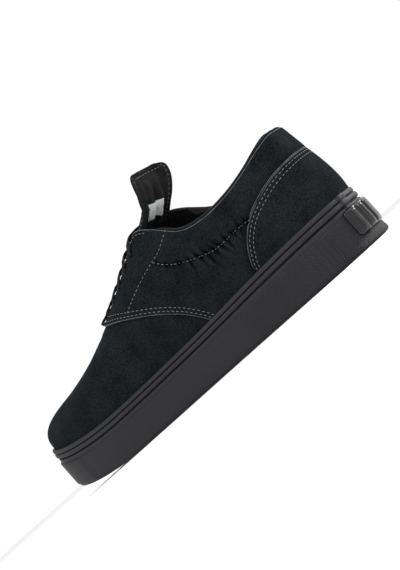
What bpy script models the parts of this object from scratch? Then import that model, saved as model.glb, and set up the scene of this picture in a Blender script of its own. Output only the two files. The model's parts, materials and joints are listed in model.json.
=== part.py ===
"""Skateboarding shoe, right foot, as an assembly of closed solids.

Frame: metres, +Y to the toe, +X to the outer (lateral) side, +Z up. The origin is on
the ground under the middle of the heel, at a crossing of two tread ribs.
"""
import math

import bmesh
import bpy
from mathutils import Vector

# Driving sizes of the last and the sole
LENGTH = 0.295
HEEL_WIDTH = 0.073
WAIST_WIDTH = 0.071
BALL_WIDTH = 0.107
HEEL_SEAT = 0.040
HEEL_HEIGHT = 0.092
INSTEP_HEIGHT = 0.106
TOE_HEIGHT = 0.062
COLLAR_WIDTH = 0.060
THROAT_WIDTH = 0.044
TOE_SPRING = 0.011
SPRING_START = 0.70
CLEARANCE = 0.0003

# Sole
FOXING_HEIGHT = 0.036
FOXING_WALL = 0.0028
PLATFORM_HEIGHT = 0.0155
GUM_THICKNESS = 0.0050
GUM_EDGE_BEVEL = 0.0008
WALL_FOOT = 0.0005
RIM_WIDTH = 0.0036
WALL_LAP = 0.0006
INSOLE_BEVEL = 0.0010

# Strip round the toe: depth, where it starts along the edge, and its heights on the wall
BUMPER_DEPTH = 0.0009
BUMPER_START = 0.80
BUMPER_RAMP = 0.02
BUMPER_LOW = 0.10
BUMPER_HIGH = 0.66

# Tread
TREAD_PITCH = 0.0121
TREAD_ANGLE = math.radians(30.5)
TREAD_TURN = math.radians(-12.0)
WIDE_RIB = 0.0030
NARROW_RIB = 0.0021
POCKET_DEPTH = 0.0028
POCKET_TAPER = 0.60
CUT_BELOW = 0.0005
LEAST_POCKET = 0.25
LEAST_SIDE = 0.0003

# Upper
UPPER_WALL = 0.0018
OVERLAY_WALL = 0.0011
COUNTER_WALL = 0.0015
PADDING = 0.0045
TONGUE_THICKNESS = 0.0042
TONGUE_RISE = 0.026
TONGUE_LEAVE = 0.5
TONGUE_ARRIVE = 0.4
TONGUE_LEAN = 0.020
TONGUE_GAP = 0.0014
TONGUE_ROOT = 0.008
ROOT_WIDTH = 0.86
OVERLAY_GAP = 0.0005
INSOLE_THICKNESS = 0.0045
SIDE_BULGE = 0.0022

# How the wall of the upper leaves the foxing and arrives at its top edge, as shares of
# the way between them. The crest shares count where it arrives level.
WALL_LEAVE = 0.40
WALL_ARRIVE = 0.34
CREST_ARRIVE = 0.12
CREST_DROP = 0.10
LINING_RISES = (0.58, 0.66, 0.76, 0.86, 0.94, 0.985)

# Heel tab
TAB_WIDTH = 0.041
TAB_BOTTOM = 0.0075
TAB_HEIGHT = 0.0185
TAB_WALL = 0.0012
TAB_WAVE = 0.0005
TAB_WAVES = 5

# Lacing
EYELET_PAIRS = 6
EYELET_HOLE = 0.0044
EYELET_SIDES = 10
EYELET_INSET = 0.0085
CUT_REACH = 0.012
LACE_WIDTH = 0.0070
LACE_THICKNESS = 0.0014
LACE_STUB = 0.0026
LACE_EASE = 0.0009
EYELET_END_SHARE = 0.028
LACE_ARCH = 0.15
CROWN_SHARES = (0.2, 0.4, 0.6, 0.8)

# Mesh fineness
SIDE_COLUMNS = 27
UPPER_ROWS = 6
CURVE_STEPS = 12
MITRE_LIMIT = 1.5
EDGE_RISE = 0.98
MERGE = 0.00002
LINE_STEPS = 16
TURN_STEP = 0.004
RISE_STEP = 0.02
SEARCH_STEP = 0.005
TAB_STEPS = 10
TAB_ROWS = 2

# Cutters: half width, and how far behind the heel they start, as shares of the length
PRISM_REACH = 0.2
COUNTER_BACK = -0.10
QUARTER_BACK = -0.12
PANEL_STEP = 0.0015

LATERAL = 1
MEDIAL = -1

# Sole edge seen from above, heel back to toe tip: across is a share of half the named
# width, along a share of the length.
LATERAL_EDGE = (
    # across, width, along
    (0.05, HEEL_WIDTH, 0.000),
    (0.42, HEEL_WIDTH, 0.008),
    (0.80, HEEL_WIDTH, 0.038),
    (0.99, HEEL_WIDTH, 0.100),
    (1.01, HEEL_WIDTH, 0.185),
    (1.06, WAIST_WIDTH, 0.270),
    (1.19, WAIST_WIDTH, 0.370),
    (0.91, BALL_WIDTH, 0.470),
    (0.995, BALL_WIDTH, 0.570),
    (1.02, BALL_WIDTH, 0.660),
    (0.985, BALL_WIDTH, 0.755),
    (0.875, BALL_WIDTH, 0.845),
    (0.665, BALL_WIDTH, 0.920),
    (0.35, BALL_WIDTH, 0.977),
    (-0.08, BALL_WIDTH, 1.000),
)
MEDIAL_EDGE = (
    # across, width, along
    (-0.05, HEEL_WIDTH, 0.000),
    (0.40, HEEL_WIDTH, 0.010),
    (0.78, HEEL_WIDTH, 0.040),
    (0.975, HEEL_WIDTH, 0.105),
    (0.955, HEEL_WIDTH, 0.190),
    (0.86, WAIST_WIDTH, 0.285),
    (0.805, WAIST_WIDTH, 0.375),
    (0.585, BALL_WIDTH, 0.455),
    (0.735, BALL_WIDTH, 0.540),
    (0.895, BALL_WIDTH, 0.630),
    (0.98, BALL_WIDTH, 0.720),
    (0.975, BALL_WIDTH, 0.800),
    (0.905, BALL_WIDTH, 0.880),
    (0.71, BALL_WIDTH, 0.950),
    (0.42, BALL_WIDTH, 0.989),
    (0.08, BALL_WIDTH, 1.000),
)

# Heights of the sole along its length, as a share of their height at the heel
SOLE_TAPER = ((0.0, 1.0), (0.25, 0.965), (0.50, 0.885), (0.70, 0.855), (1.0, 0.90))

# Sideways place of the ridge of the instep, as a share of the ball width
RIDGE_SHIFT = ((0.0, 0.0), (0.25, 0.015), (0.45, 0.005), (0.65, -0.025), (0.85, -0.055), (1.0, -0.06))

# Upper edge from the heel back round the collar, down the throat and along the ridge of
# the vamp. turn is the share of the sole edge, level says how flat the wall arrives.
TOP_EDGE = (
    # turn, across, along, height, level
    (0.000, 0.0, 0.030, HEEL_HEIGHT, 0.00),
    (0.045, 0.42 * COLLAR_WIDTH / 2, 0.034, 0.995 * HEEL_HEIGHT, 0.00),
    (0.090, 0.74 * COLLAR_WIDTH / 2, 0.058, 0.965 * HEEL_HEIGHT, 0.02),
    (0.140, 0.93 * COLLAR_WIDTH / 2, 0.105, 0.920 * HEEL_HEIGHT, 0.04),
    (0.200, 1.00 * COLLAR_WIDTH / 2, 0.170, 0.890 * HEEL_HEIGHT, 0.06),
    (0.270, 0.97 * COLLAR_WIDTH / 2, 0.245, 0.895 * HEEL_HEIGHT, 0.10),
    (0.330, 0.90 * COLLAR_WIDTH / 2, 0.310, 0.950 * HEEL_HEIGHT, 0.18),
    (0.385, 0.82 * COLLAR_WIDTH / 2, 0.366, 0.955 * INSTEP_HEIGHT, 0.32),
    (0.420, 1.02 * THROAT_WIDTH / 2, 0.402, 1.010 * INSTEP_HEIGHT, 0.42),
    (0.450, 0.96 * THROAT_WIDTH / 2, 0.432, 0.985 * INSTEP_HEIGHT, 0.50),
    (0.510, 0.84 * THROAT_WIDTH / 2, 0.500, 0.895 * INSTEP_HEIGHT, 0.62),
    (0.570, 0.70 * THROAT_WIDTH / 2, 0.568, 0.815 * INSTEP_HEIGHT, 0.74),
    (0.615, 0.54 * THROAT_WIDTH / 2, 0.614, 0.768 * INSTEP_HEIGHT, 0.84),
    (0.640, 0.34 * THROAT_WIDTH / 2, 0.636, 0.750 * INSTEP_HEIGHT, 0.92),
    (0.655, 0.00 * THROAT_WIDTH / 2, 0.645, 0.745 * INSTEP_HEIGHT, 0.97),
    (0.730, 0.0, 0.710, 0.670 * INSTEP_HEIGHT, 1.00),
    (0.820, 0.0, 0.790, 1.045 * TOE_HEIGHT, 1.00),
    (0.910, 0.0, 0.862, 1.000 * TOE_HEIGHT, 1.00),
    (1.000, 0.0, 0.920, 0.945 * TOE_HEIGHT, 1.00),
)
THROAT_TOP = 0.420
THROAT_BASE = 0.655
VAMP_TURN = 0.730
COLLAR_FRONT = 0.375

# Side profile of the wall of the sole: outset from the outline, height as a share of
# the foxing height. The deep line and the groove part its bands.
WALL_PROFILE = (
    # outset, height share
    (-0.0007, 0.014),
    (0.0000, 0.060),
    (0.0000, 0.101),
    (0.0000, 0.630),
    (0.0000, 0.655),
    (-0.0005, 0.675),
    (-0.0005, 0.765),
    (-0.0013, 0.780),
    (-0.0002, 0.795),
    (-0.0002, 0.885),
    (-0.0008, 0.900),
    (-0.0004, 0.915),
    (-0.0008, 0.992),
    (-0.0014, 1.000),
)

# Edge of the heel counter seen from the side: along is a share of the length, height a
# share of the heel height. It runs from the foxing up and back to the heel.
COUNTER_EDGE = ((0.226, 0.37), (0.222, 0.42), (0.206, 0.50), (0.186, 0.575), (0.155, 0.650),
                (0.122, 0.700), (0.072, 0.752), (0.027, 0.780), (-0.02, 0.800), (-0.07, 0.815))

# Front edge of the quarters, from the foxing up and forward to the throat
QUARTER_EDGE = ((0.395, 0.30), (0.405, 0.38), (0.440, 0.52), (0.495, 0.665), (0.560, 0.775),
                (0.625, 0.835), (0.660, 0.880), (0.672, 1.00), (0.672, 1.40))

# Free end of the tongue: share of its rise, half its width and its arch, both as shares
# of the throat width
TONGUE_END = ((0.22, 0.44, 0.15), (0.44, 0.53, 0.17), (0.66, 0.61, 0.18), (0.84, 0.62, 0.17),
              (0.95, 0.55, 0.14), (1.00, 0.43, 0.09))
ACROSS_TONGUE = (-1.0, -0.86, -0.52, -0.18, 0.18, 0.52, 0.86, 1.0)
TONGUE_TURNS = (0.636, 0.612, 0.575, 0.535, 0.495, 0.460, 0.430)

# How far the tongue reaches under the eyestays and how high it arches between them, both
# as shares: of the throat width, and of the gap it spans
TONGUE_REACH = ((0.42, 0.06, 0.15), (0.50, 0.15, 0.15), (0.58, 0.22, 0.12), (0.655, 0.26, 0.02))

BLACK_RUBBER = (0.035, 0.034, 0.040, 1.0)
GLOSS_RUBBER = (0.012, 0.012, 0.014, 1.0)
GUM = (0.26, 0.20, 0.17, 1.0)
SUEDE = (0.012, 0.015, 0.019, 1.0)
LINING = (0.010, 0.010, 0.011, 1.0)
LACE_BLACK = (0.012, 0.012, 0.013, 1.0)


def clear_scene():
    for item in list(bpy.data.objects):
        bpy.data.objects.remove(item)


def material(name, colour, roughness):
    made = bpy.data.materials.new(name)
    made.use_nodes = True
    shader = made.node_tree.nodes["Principled BSDF"]
    shader.inputs["Base Color"].default_value = colour
    shader.inputs["Roughness"].default_value = roughness
    shader.inputs["Metallic"].default_value = 0.0
    return made


def collection(name):
    made = bpy.data.collections.new(name)
    bpy.context.scene.collection.children.link(made)
    return made


def table_at(table, key):
    """Smooth value of every other column of a table at a value of its first one."""
    last = len(table) - 1
    if key <= table[0][0]:
        return table[0][1:]
    if key >= table[last][0]:
        return table[last][1:]
    low = 0
    while table[low + 1][0] < key:
        low += 1
    start, end = table[low], table[low + 1]
    before = table[max(low - 1, 0)]
    after = table[min(low + 2, last)]
    span = end[0] - start[0]
    share = (key - start[0]) / span
    values = []
    for column in range(1, len(start)):
        leave = (end[column] - before[column]) / (end[0] - before[0]) * span
        arrive = (after[column] - start[column]) / (after[0] - start[0]) * span
        values.append(hermite(start[column], end[column], leave, arrive, share))
    return values


def hermite(start, end, leave, arrive, share):
    square = share * share
    cube = square * share
    first = start * (2 * cube - 3 * square + 1) + leave * (cube - 2 * square + share)
    return first + end * (3 * square - 2 * cube) + arrive * (cube - square)


def bezier(start, leave, arrive, end, share):
    left = 1 - share
    return (start * left ** 3 + leave * (3 * left * left * share)
            + arrive * (3 * left * share * share) + end * share ** 3)


def blend(start, end, share):
    return start + (end - start) * share


def along_y(share):
    return share * LENGTH - HEEL_SEAT


def share_of_y(y):
    return (y + HEEL_SEAT) / LENGTH


def half_outline(rows, side):
    """Points of one side of the sole, close together, from the heel back to the toe."""
    points = [Vector((side * across * width / 2, along_y(along), 0)) for across, width, along in rows]
    mirror_heel = Vector((-points[1].x, points[1].y, 0))
    mirror_toe = Vector((-points[-2].x, points[-2].y, 0))
    knots = [mirror_heel] + points + [mirror_toe]
    fine = []
    for index in range(1, len(knots) - 2):
        before, start, end, after = knots[index - 1:index + 3]
        for step in range(CURVE_STEPS):
            share = step / CURVE_STEPS
            fine.append(hermite(start, end, (end - before) / 2, (after - start) / 2, share))
    fine.append(points[-1])
    return fine


def measured(points):
    reach = [0.0]
    for start, end in zip(points, points[1:]):
        reach.append(reach[-1] + (end - start).length)
    return reach


def build_sides():
    sides = {}
    for side, rows in ((LATERAL, LATERAL_EDGE), (MEDIAL, MEDIAL_EDGE)):
        points = half_outline(rows, side)
        sides[side] = (points, measured(points))
    return sides


SIDES = build_sides()


def edge(side, turn):
    """Point and outward normal of the sole edge at a share of its way to the toe."""
    points, reach = SIDES[side]
    goal = turn * reach[-1]
    low = 0
    while low < len(points) - 2 and reach[low + 1] < goal:
        low += 1
    share = (goal - reach[low]) / (reach[low + 1] - reach[low])
    place = points[low].lerp(points[low + 1], share)
    first = points[max(low - 1, 0)]
    second = points[min(low + 2, len(points) - 1)]
    run = (second - first).normalized()
    if turn <= 0:
        return place, Vector((0, -1, 0))
    if turn >= 1:
        return place, Vector((0, 1, 0))
    return place, Vector((run.y, -run.x, 0)) * side


def on_last(x, y, z):
    """Bend a point of the flat sole: it thins towards the ball and the toe springs up."""
    along = share_of_y(y)
    thin = table_at(SOLE_TAPER, along)[0]
    past = max(along - SPRING_START, 0) / (1 - SPRING_START)
    return Vector((x, y, z * thin + TOE_SPRING * past * past))


def turns():
    return [index / SIDE_COLUMNS for index in range(SIDE_COLUMNS + 1)]


def ring_point(side, turn, outset, z):
    place, normal = edge(side, turn)
    return on_last(place.x + normal.x * outset, place.y + normal.y * outset, z)


def ridge_x(along):
    return table_at(RIDGE_SHIFT, along)[0] * BALL_WIDTH


def top_point(side, turn):
    across, along, height, level = table_at(TOP_EDGE, turn)
    across = max(across, 0) if turn < THROAT_BASE else 0
    return Vector((ridge_x(along) + side * across, along_y(along), height)), level


def upper_inset():
    return -(FOXING_WALL + CLEARANCE)


def upper_point(side, turn, rise):
    """Point of the outer face of the upper, rise 0 at the foxing and 1 at its top edge."""
    place, normal = edge(side, turn)
    foot = ring_point(side, turn, upper_inset(), FOXING_HEIGHT)
    top, level = top_point(side, turn)
    reach = (top - foot).length
    out = Vector((foot.x - top.x, foot.y - top.y, 0))
    out.normalize()
    down = Vector((0, 0, -1))
    arrive_way = down * (1 - level) + out * level + down * (CREST_DROP * level)
    arrive_way.normalize()
    leave = foot + Vector((0, 0, reach * WALL_LEAVE)) + normal * SIDE_BULGE
    arrive = top + arrive_way * (reach * (WALL_ARRIVE + CREST_ARRIVE * level))
    return bezier(foot, leave, arrive, top, rise)


def upper_column(side, turn):
    """One column of the outer face, from the platform up to the top edge."""
    column = [ring_point(side, turn, upper_inset(), PLATFORM_HEIGHT + CLEARANCE)]
    for row in range(UPPER_ROWS + 1):
        column.append(upper_point(side, turn, row / UPPER_ROWS))
    return column


def sheet(name, columns_by_side, material_used, group):
    """Open mesh from columns of points, one list of columns for each side."""
    mesh = bpy.data.meshes.new(name)
    shape = bmesh.new()
    for side, columns in columns_by_side:
        grid = [[shape.verts.new(point) for point in column] for column in columns]
        for first, second in zip(grid, grid[1:]):
            for low in range(len(first) - 1):
                corners = [first[low], second[low], second[low + 1], first[low + 1]]
                if side == MEDIAL:
                    corners.reverse()
                shape.faces.new(corners)
    bmesh.ops.remove_doubles(shape, verts=shape.verts, dist=MERGE)
    bmesh.ops.dissolve_degenerate(shape, edges=shape.edges, dist=MERGE)
    bmesh.ops.triangulate(shape, faces=shape.faces, quad_method="FIXED")
    shape.normal_update()
    shape.to_mesh(mesh)
    shape.free()
    made = bpy.data.objects.new(name, mesh)
    made.data.materials.append(material_used)
    group.objects.link(made)
    return made


def push_out(item, distance):
    """Move each point of a mesh along its normal."""
    shape = bmesh.new()
    shape.from_mesh(item.data)
    shape.normal_update()
    moves = [vertex.normal * distance * min(vertex.calc_shell_factor(), MITRE_LIMIT)
             for vertex in shape.verts]
    for vertex, move in zip(shape.verts, moves):
        vertex.co += move
    shape.to_mesh(item.data)
    shape.free()


def thicken(item, thickness, even=True):
    wall = item.modifiers.new("Wall", "SOLIDIFY")
    wall.thickness = thickness
    wall.offset = -1
    wall.use_even_offset = even
    wall.use_quality_normals = True


def cut(item, cutter, operation):
    step = item.modifiers.new("Cut", "BOOLEAN")
    step.operation = operation
    step.solver = "EXACT"
    step.object = cutter


def hide_cutter(item):
    item.hide_render = True
    item.display_type = "WIRE"


def prism(name, outline, group):
    """Closed cutter from an outline of (y, z) points, as wide as the shoe and more."""
    shape = bmesh.new()
    corners = [shape.verts.new((-PRISM_REACH, y, z)) for y, z in outline]
    face = shape.faces.new(corners)
    grown = bmesh.ops.extrude_face_region(shape, geom=[face])
    moved = [item for item in grown["geom"] if isinstance(item, bmesh.types.BMVert)]
    bmesh.ops.translate(shape, verts=moved, vec=(2 * PRISM_REACH, 0, 0))
    bmesh.ops.recalc_face_normals(shape, faces=shape.faces)
    mesh = bpy.data.meshes.new(name)
    shape.to_mesh(mesh)
    shape.free()
    made = bpy.data.objects.new(name, mesh)
    group.objects.link(made)
    hide_cutter(made)
    return made


def bake(item):
    """Replace an object's mesh by its evaluated one and drop its modifiers."""
    bpy.context.view_layer.update()
    graph = bpy.context.evaluated_depsgraph_get()
    done = bpy.data.meshes.new_from_object(item.evaluated_get(graph))
    item.modifiers.clear()
    item.data = done


def triangulate(item):
    shape = bmesh.new()
    shape.from_mesh(item.data)
    bmesh.ops.triangulate(shape, faces=shape.faces)
    shape.to_mesh(item.data)
    shape.free()


def bend(item):
    for vertex in item.data.vertices:
        vertex.co = on_last(*vertex.co)


def swept_ring(name, profile, material_used, group):
    """Closed flat solid: a profile of (outset, height) swept round the sole and capped.

    The profile starts and ends on the caps, which are ladders of cross strips, so that
    stacked pieces bend alike.
    """
    shape = bmesh.new()
    grid = {}
    for side in (LATERAL, MEDIAL):
        for column, turn in enumerate(turns()):
            place, normal = edge(side, turn)
            for row, (outset, height) in enumerate(profile):
                point = place + normal * outset_at(outset, height, turn)
                if side == MEDIAL and turn in (0, 1):
                    grid[side, column, row] = grid[LATERAL, column, row]
                    continue
                grid[side, column, row] = shape.verts.new((point.x, point.y, height))
    for side in (LATERAL, MEDIAL):
        for column in range(SIDE_COLUMNS):
            for row in range(len(profile) - 1):
                corners = [grid[side, column, row], grid[side, column + 1, row],
                           grid[side, column + 1, row + 1], grid[side, column, row + 1]]
                shape.faces.new(corners)
    for row in (0, len(profile) - 1):
        for column in range(SIDE_COLUMNS):
            corners = [grid[MEDIAL, column, row], grid[LATERAL, column, row],
                       grid[LATERAL, column + 1, row], grid[MEDIAL, column + 1, row]]
            kept = list(dict.fromkeys(corners))
            shape.faces.new(kept)
    bmesh.ops.recalc_face_normals(shape, faces=shape.faces)
    mesh = bpy.data.meshes.new(name)
    shape.to_mesh(mesh)
    shape.free()
    made = bpy.data.objects.new(name, mesh)
    made.data.materials.append(material_used)
    group.objects.link(made)
    return made


def outset_at(outset, height, turn):
    """The toe strip stands a little proud of the wall round the toe."""
    if outset < 0 or not BUMPER_LOW < height / FOXING_HEIGHT < BUMPER_HIGH:
        return outset
    share = min(max((turn - BUMPER_START) / BUMPER_RAMP, 0), 1)
    return outset + BUMPER_DEPTH * share


def wall_profile():
    recess = WALL_LAP - FOXING_WALL - CLEARANCE
    inside = -FOXING_WALL
    rows = [(recess, GUM_THICKNESS + CLEARANCE), (recess, WALL_FOOT)]
    for outset, share in WALL_PROFILE:
        rows.append((outset, share * FOXING_HEIGHT))
    rows += [(inside, FOXING_HEIGHT), (inside, PLATFORM_HEIGHT)]
    return rows


def make_midsole(rubber, group):
    made = swept_ring("midsole", wall_profile(), rubber, group)
    triangulate(made)
    bend(made)
    return made


def gum_outset():
    return WALL_LAP - FOXING_WALL - 2 * CLEARANCE


def gum_profile():
    outer = gum_outset()
    return [(outer - GUM_EDGE_BEVEL, 0.0), (outer, GUM_EDGE_BEVEL), (outer, GUM_THICKNESS)]


def tread_axes():
    first = Vector((math.cos(TREAD_ANGLE), math.sin(TREAD_ANGLE), 0)) * TREAD_PITCH
    second = Vector((math.cos(TREAD_ANGLE), -math.sin(TREAD_ANGLE), 0)) * TREAD_PITCH
    turn_first = turned(first, TREAD_TURN)
    return turn_first, turned(second, TREAD_TURN)


def turned(vector, angle):
    x = vector.x * math.cos(angle) - vector.y * math.sin(angle)
    y = vector.x * math.sin(angle) + vector.y * math.cos(angle)
    return Vector((x, y, 0))


def rim_outline():
    points = []
    inset = gum_outset() - RIM_WIDTH
    for turn in turns():
        place, normal = edge(LATERAL, turn)
        points.append(place + normal * inset)
    for turn in reversed(turns()[1:-1]):
        place, normal = edge(MEDIAL, turn)
        points.append(place + normal * inset)
    return points


def clipped(polygon, corners):
    """Part of a polygon that lies in a convex cell whose corners run anticlockwise."""
    for index, corner in enumerate(corners):
        following = corners[(index + 1) % len(corners)]
        way = following - corner
        kept = []
        for number, point in enumerate(polygon):
            after = polygon[(number + 1) % len(polygon)]
            here = way.x * (point.y - corner.y) - way.y * (point.x - corner.x)
            there = way.x * (after.y - corner.y) - way.y * (after.x - corner.x)
            if here >= 0:
                kept.append(point)
            if (here >= 0) != (there >= 0):
                kept.append(point.lerp(after, here / (here - there)))
        polygon = kept
        if not polygon:
            return []
    return polygon


def area(polygon):
    total = 0.0
    for index, point in enumerate(polygon):
        after = polygon[(index + 1) % len(polygon)]
        total += point.x * after.y - after.x * point.y
    return abs(total) / 2


def pocket_cells():
    """Outlines of the tread pockets, cut off at the rim."""
    first, second = tread_axes()
    skew = abs(first.normalized().cross(second.normalized()).z)
    first_share = (1 - WIDE_RIB / (TREAD_PITCH * skew)) / 2
    second_share = (1 - NARROW_RIB / (TREAD_PITCH * skew)) / 2
    rim = rim_outline()
    count = math.ceil(LENGTH / TREAD_PITCH)
    cells = []
    for i in range(-count, count + 1):
        for j in range(-count, count + 1):
            middle = first * (i + 0.5) + second * (j + 0.5)
            a = first * first_share
            b = second * second_share
            cell = [middle - a - b, middle - a + b, middle + a + b, middle + a - b]
            if (cell[1] - cell[0]).cross(cell[2] - cell[1]).z < 0:
                cell.reverse()
            kept = clipped(rim, cell)
            if len(kept) > 2 and area(kept) > LEAST_POCKET * area(cell):
                cells.append(kept)
    return cells


def make_tread_cutter(group):
    shape = bmesh.new()
    for cell in pocket_cells():
        shrunk = [point for index, point in enumerate(cell)
                  if (point - cell[index - 1]).length > LEAST_SIDE]
        middle = sum(shrunk, Vector()) / len(shrunk)
        low = [shape.verts.new((point.x, point.y, -CUT_BELOW)) for point in shrunk]
        high = []
        for point in shrunk:
            inner = middle + (point - middle) * POCKET_TAPER
            high.append(shape.verts.new((inner.x, inner.y, POCKET_DEPTH)))
        shape.faces.new(low)
        shape.faces.new(list(reversed(high)))
        for index in range(len(low)):
            after = (index + 1) % len(low)
            shape.faces.new([low[index], high[index], high[after], low[after]])
    bmesh.ops.recalc_face_normals(shape, faces=shape.faces)
    mesh = bpy.data.meshes.new("tread_pockets")
    shape.to_mesh(mesh)
    shape.free()
    made = bpy.data.objects.new("tread_pockets", mesh)
    group.objects.link(made)
    hide_cutter(made)
    return made


def make_outsole(gum, group, cutters):
    made = swept_ring("outsole", gum_profile(), gum, group)
    cut(made, make_tread_cutter(cutters), "DIFFERENCE")
    bake(made)
    triangulate(made)
    bend(made)
    return made


def insole_outset():
    return upper_inset() - UPPER_WALL - 2 * CLEARANCE


def make_insole(cloth, group):
    low = PLATFORM_HEIGHT + CLEARANCE
    high = low + INSOLE_THICKNESS
    outer = insole_outset()
    profile = [(outer, low), (outer, high - INSOLE_BEVEL), (outer - INSOLE_BEVEL, high)]
    made = swept_ring("insole", profile, cloth, group)
    triangulate(made)
    bend(made)
    return made


def upper_columns(side):
    return [upper_column(side, turn) for turn in turns()]


def both_sides(maker):
    return [(side, maker(side)) for side in (LATERAL, MEDIAL)]


def foxing_line(start, end, lift):
    """Top of the foxing seen from the side, as (y, z) points."""
    line = []
    for index in range(LINE_STEPS + 1):
        y = along_y(blend(start, end, index / LINE_STEPS))
        line.append((y, on_last(0, y, FOXING_HEIGHT).z + lift))
    return line


def side_line(rows):
    return [(along_y(along), height * HEEL_HEIGHT) for along, height in rows]


def shifted(line, distance):
    """Move a side line along its own normal, to the front and up."""
    moved = []
    for index, (y, z) in enumerate(line):
        before = line[max(index - 1, 0)]
        after = line[min(index + 1, len(line) - 1)]
        run = Vector((after[0] - before[0], after[1] - before[1])).normalized()
        moved.append((y + run.y * distance, z - run.x * distance))
    return moved


def counter_outline():
    front = side_line(COUNTER_EDGE)
    line = foxing_line(COUNTER_BACK, COUNTER_EDGE[0][0], CLEARANCE)
    return line + front[1:] + [(along_y(COUNTER_BACK), front[-1][1])]


def quarter_outline():
    back = shifted(side_line(COUNTER_EDGE), CLEARANCE)
    front = side_line(QUARTER_EDGE)
    line = foxing_line(COUNTER_EDGE[0][0] + PANEL_STEP, QUARTER_EDGE[0][0], CLEARANCE)
    roof = (along_y(QUARTER_BACK), front[-1][1])
    return line + front[1:] + [roof, (along_y(QUARTER_BACK), back[-1][1])] + list(reversed(back[1:]))


def make_upper(suede, group, holes):
    made = sheet("upper", both_sides(upper_columns), suede, group)
    thicken(made, UPPER_WALL)
    bake(made)
    cut(made, holes, "DIFFERENCE")
    bake(made)
    triangulate(made)
    return made


def make_overlay(name, thickness, outline, suede, group, cutters):
    made = sheet(name, both_sides(upper_columns), suede, group)
    push_out(made, OVERLAY_GAP + thickness)
    thicken(made, thickness, even=False)
    cut(made, prism(name + "_region", outline, cutters), "INTERSECT")
    return made


def surface_out(side, turn, rise):
    """Outward normal of the outer face of the upper."""
    place = upper_point(side, turn, rise)
    below = upper_point(side, turn, rise - RISE_STEP) - place
    onward = upper_point(side, turn + TURN_STEP, rise) - upper_point(side, turn - TURN_STEP, rise)
    return onward.cross(below).normalized() * -side


def eyelet_turns():
    first = THROAT_TOP + EYELET_END_SHARE
    last = THROAT_BASE - EYELET_END_SHARE
    return [blend(first, last, pair / (EYELET_PAIRS - 1)) for pair in range(EYELET_PAIRS)]


def rise_below_edge(side, turn, distance):
    """How far up its column a point lies that is a set way below the top edge."""
    top = upper_point(side, turn, 1.0)
    rise = 1.0
    while (upper_point(side, turn, rise) - top).length < distance:
        rise -= SEARCH_STEP
    return rise


def hole_places():
    """Place and outward direction of each eyelet, lateral and medial in turn."""
    holes = []
    for turn in eyelet_turns():
        for side in (LATERAL, MEDIAL):
            rise = rise_below_edge(side, turn, EYELET_INSET)
            holes.append((upper_point(side, turn, rise), surface_out(side, turn, rise)))
    return holes


def make_eyelet_cutter(group):
    """One cutter with a short cylinder through each eyelet."""
    shape = bmesh.new()
    for place, out in hole_places():
        turn = out.to_track_quat("Z", "Y").to_matrix().to_4x4()
        turn.translation = place
        bmesh.ops.create_cone(shape, cap_ends=True, segments=EYELET_SIDES, radius1=EYELET_HOLE / 2,
                              radius2=EYELET_HOLE / 2, depth=CUT_REACH, matrix=turn)
    mesh = bpy.data.meshes.new("eyelet_holes")
    shape.to_mesh(mesh)
    shape.free()
    made = bpy.data.objects.new("eyelet_holes", mesh)
    group.objects.link(made)
    hide_cutter(made)
    return made


def make_quarters(suede, group, cutters, holes):
    made = make_overlay("quarters", OVERLAY_WALL, quarter_outline(), suede, group, cutters)
    bake(made)
    cut(made, holes, "DIFFERENCE")
    bake(made)
    triangulate(made)
    return made


def make_counter(suede, group, cutters):
    made = make_overlay("heel_counter", COUNTER_WALL, counter_outline(), suede, group, cutters)
    bake(made)
    triangulate(made)
    return made


def make_collar_lining(cloth, group):
    """Padding inside the collar, down to the height of the collar seam."""
    def columns(side):
        kept = [turn for turn in turns() if turn < COLLAR_FRONT]
        return [[upper_point(side, turn, rise) for rise in LINING_RISES] for turn in kept]

    made = sheet("collar_lining", both_sides(columns), cloth, group)
    push_out(made, -(UPPER_WALL + CLEARANCE))
    thicken(made, PADDING)
    return made


def crown_points(start, end, arch):
    """Points of the low arch between the two edges of the throat."""
    rise = (end - start).length * arch
    up = Vector((0, 0, 1))
    return [start.lerp(end, share) + up * (4 * rise * share * (1 - share)) for share in CROWN_SHARES]


def under_eyestay(side, turn, distance):
    """Point of the tongue's face, inside the wall and a set way below the throat edge."""
    rise = rise_below_edge(side, turn, distance)
    inward = surface_out(side, turn, min(rise, EDGE_RISE)) * (UPPER_WALL + TONGUE_GAP)
    return upper_point(side, turn, rise) - inward


def tongue_section(turn):
    """Points across the tongue: under one eyestay, over the throat, under the other."""
    reach_share, arch = table_at(TONGUE_REACH, turn)
    reach = reach_share * THROAT_WIDTH
    left = [under_eyestay(LATERAL, turn, reach), under_eyestay(LATERAL, turn, 0)]
    right = [under_eyestay(MEDIAL, turn, 0), under_eyestay(MEDIAL, turn, reach)]
    return left + crown_points(left[-1], right[0], arch) + right


def free_section(crown, share, half_width, arch):
    """Points across the free end of the tongue, which curves up from its crown line."""
    end = crown + Vector((0, -TONGUE_LEAN, TONGUE_RISE))
    leave = crown + Vector((0, -TONGUE_LEAN, TONGUE_LEAN / 2)) * TONGUE_LEAVE
    arrive = end - Vector((0, -TONGUE_LEAN / 2, TONGUE_RISE)) * TONGUE_ARRIVE
    middle = bezier(crown, leave, arrive, end, share)
    onward = bezier(crown, leave, arrive, end, share + RISE_STEP) - middle
    up = Vector((0, onward.z, -onward.y)).normalized()
    return [middle + Vector((-place * half_width, 0, 0)) - up * (arch * place * place)
            for place in ACROSS_TONGUE]


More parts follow.
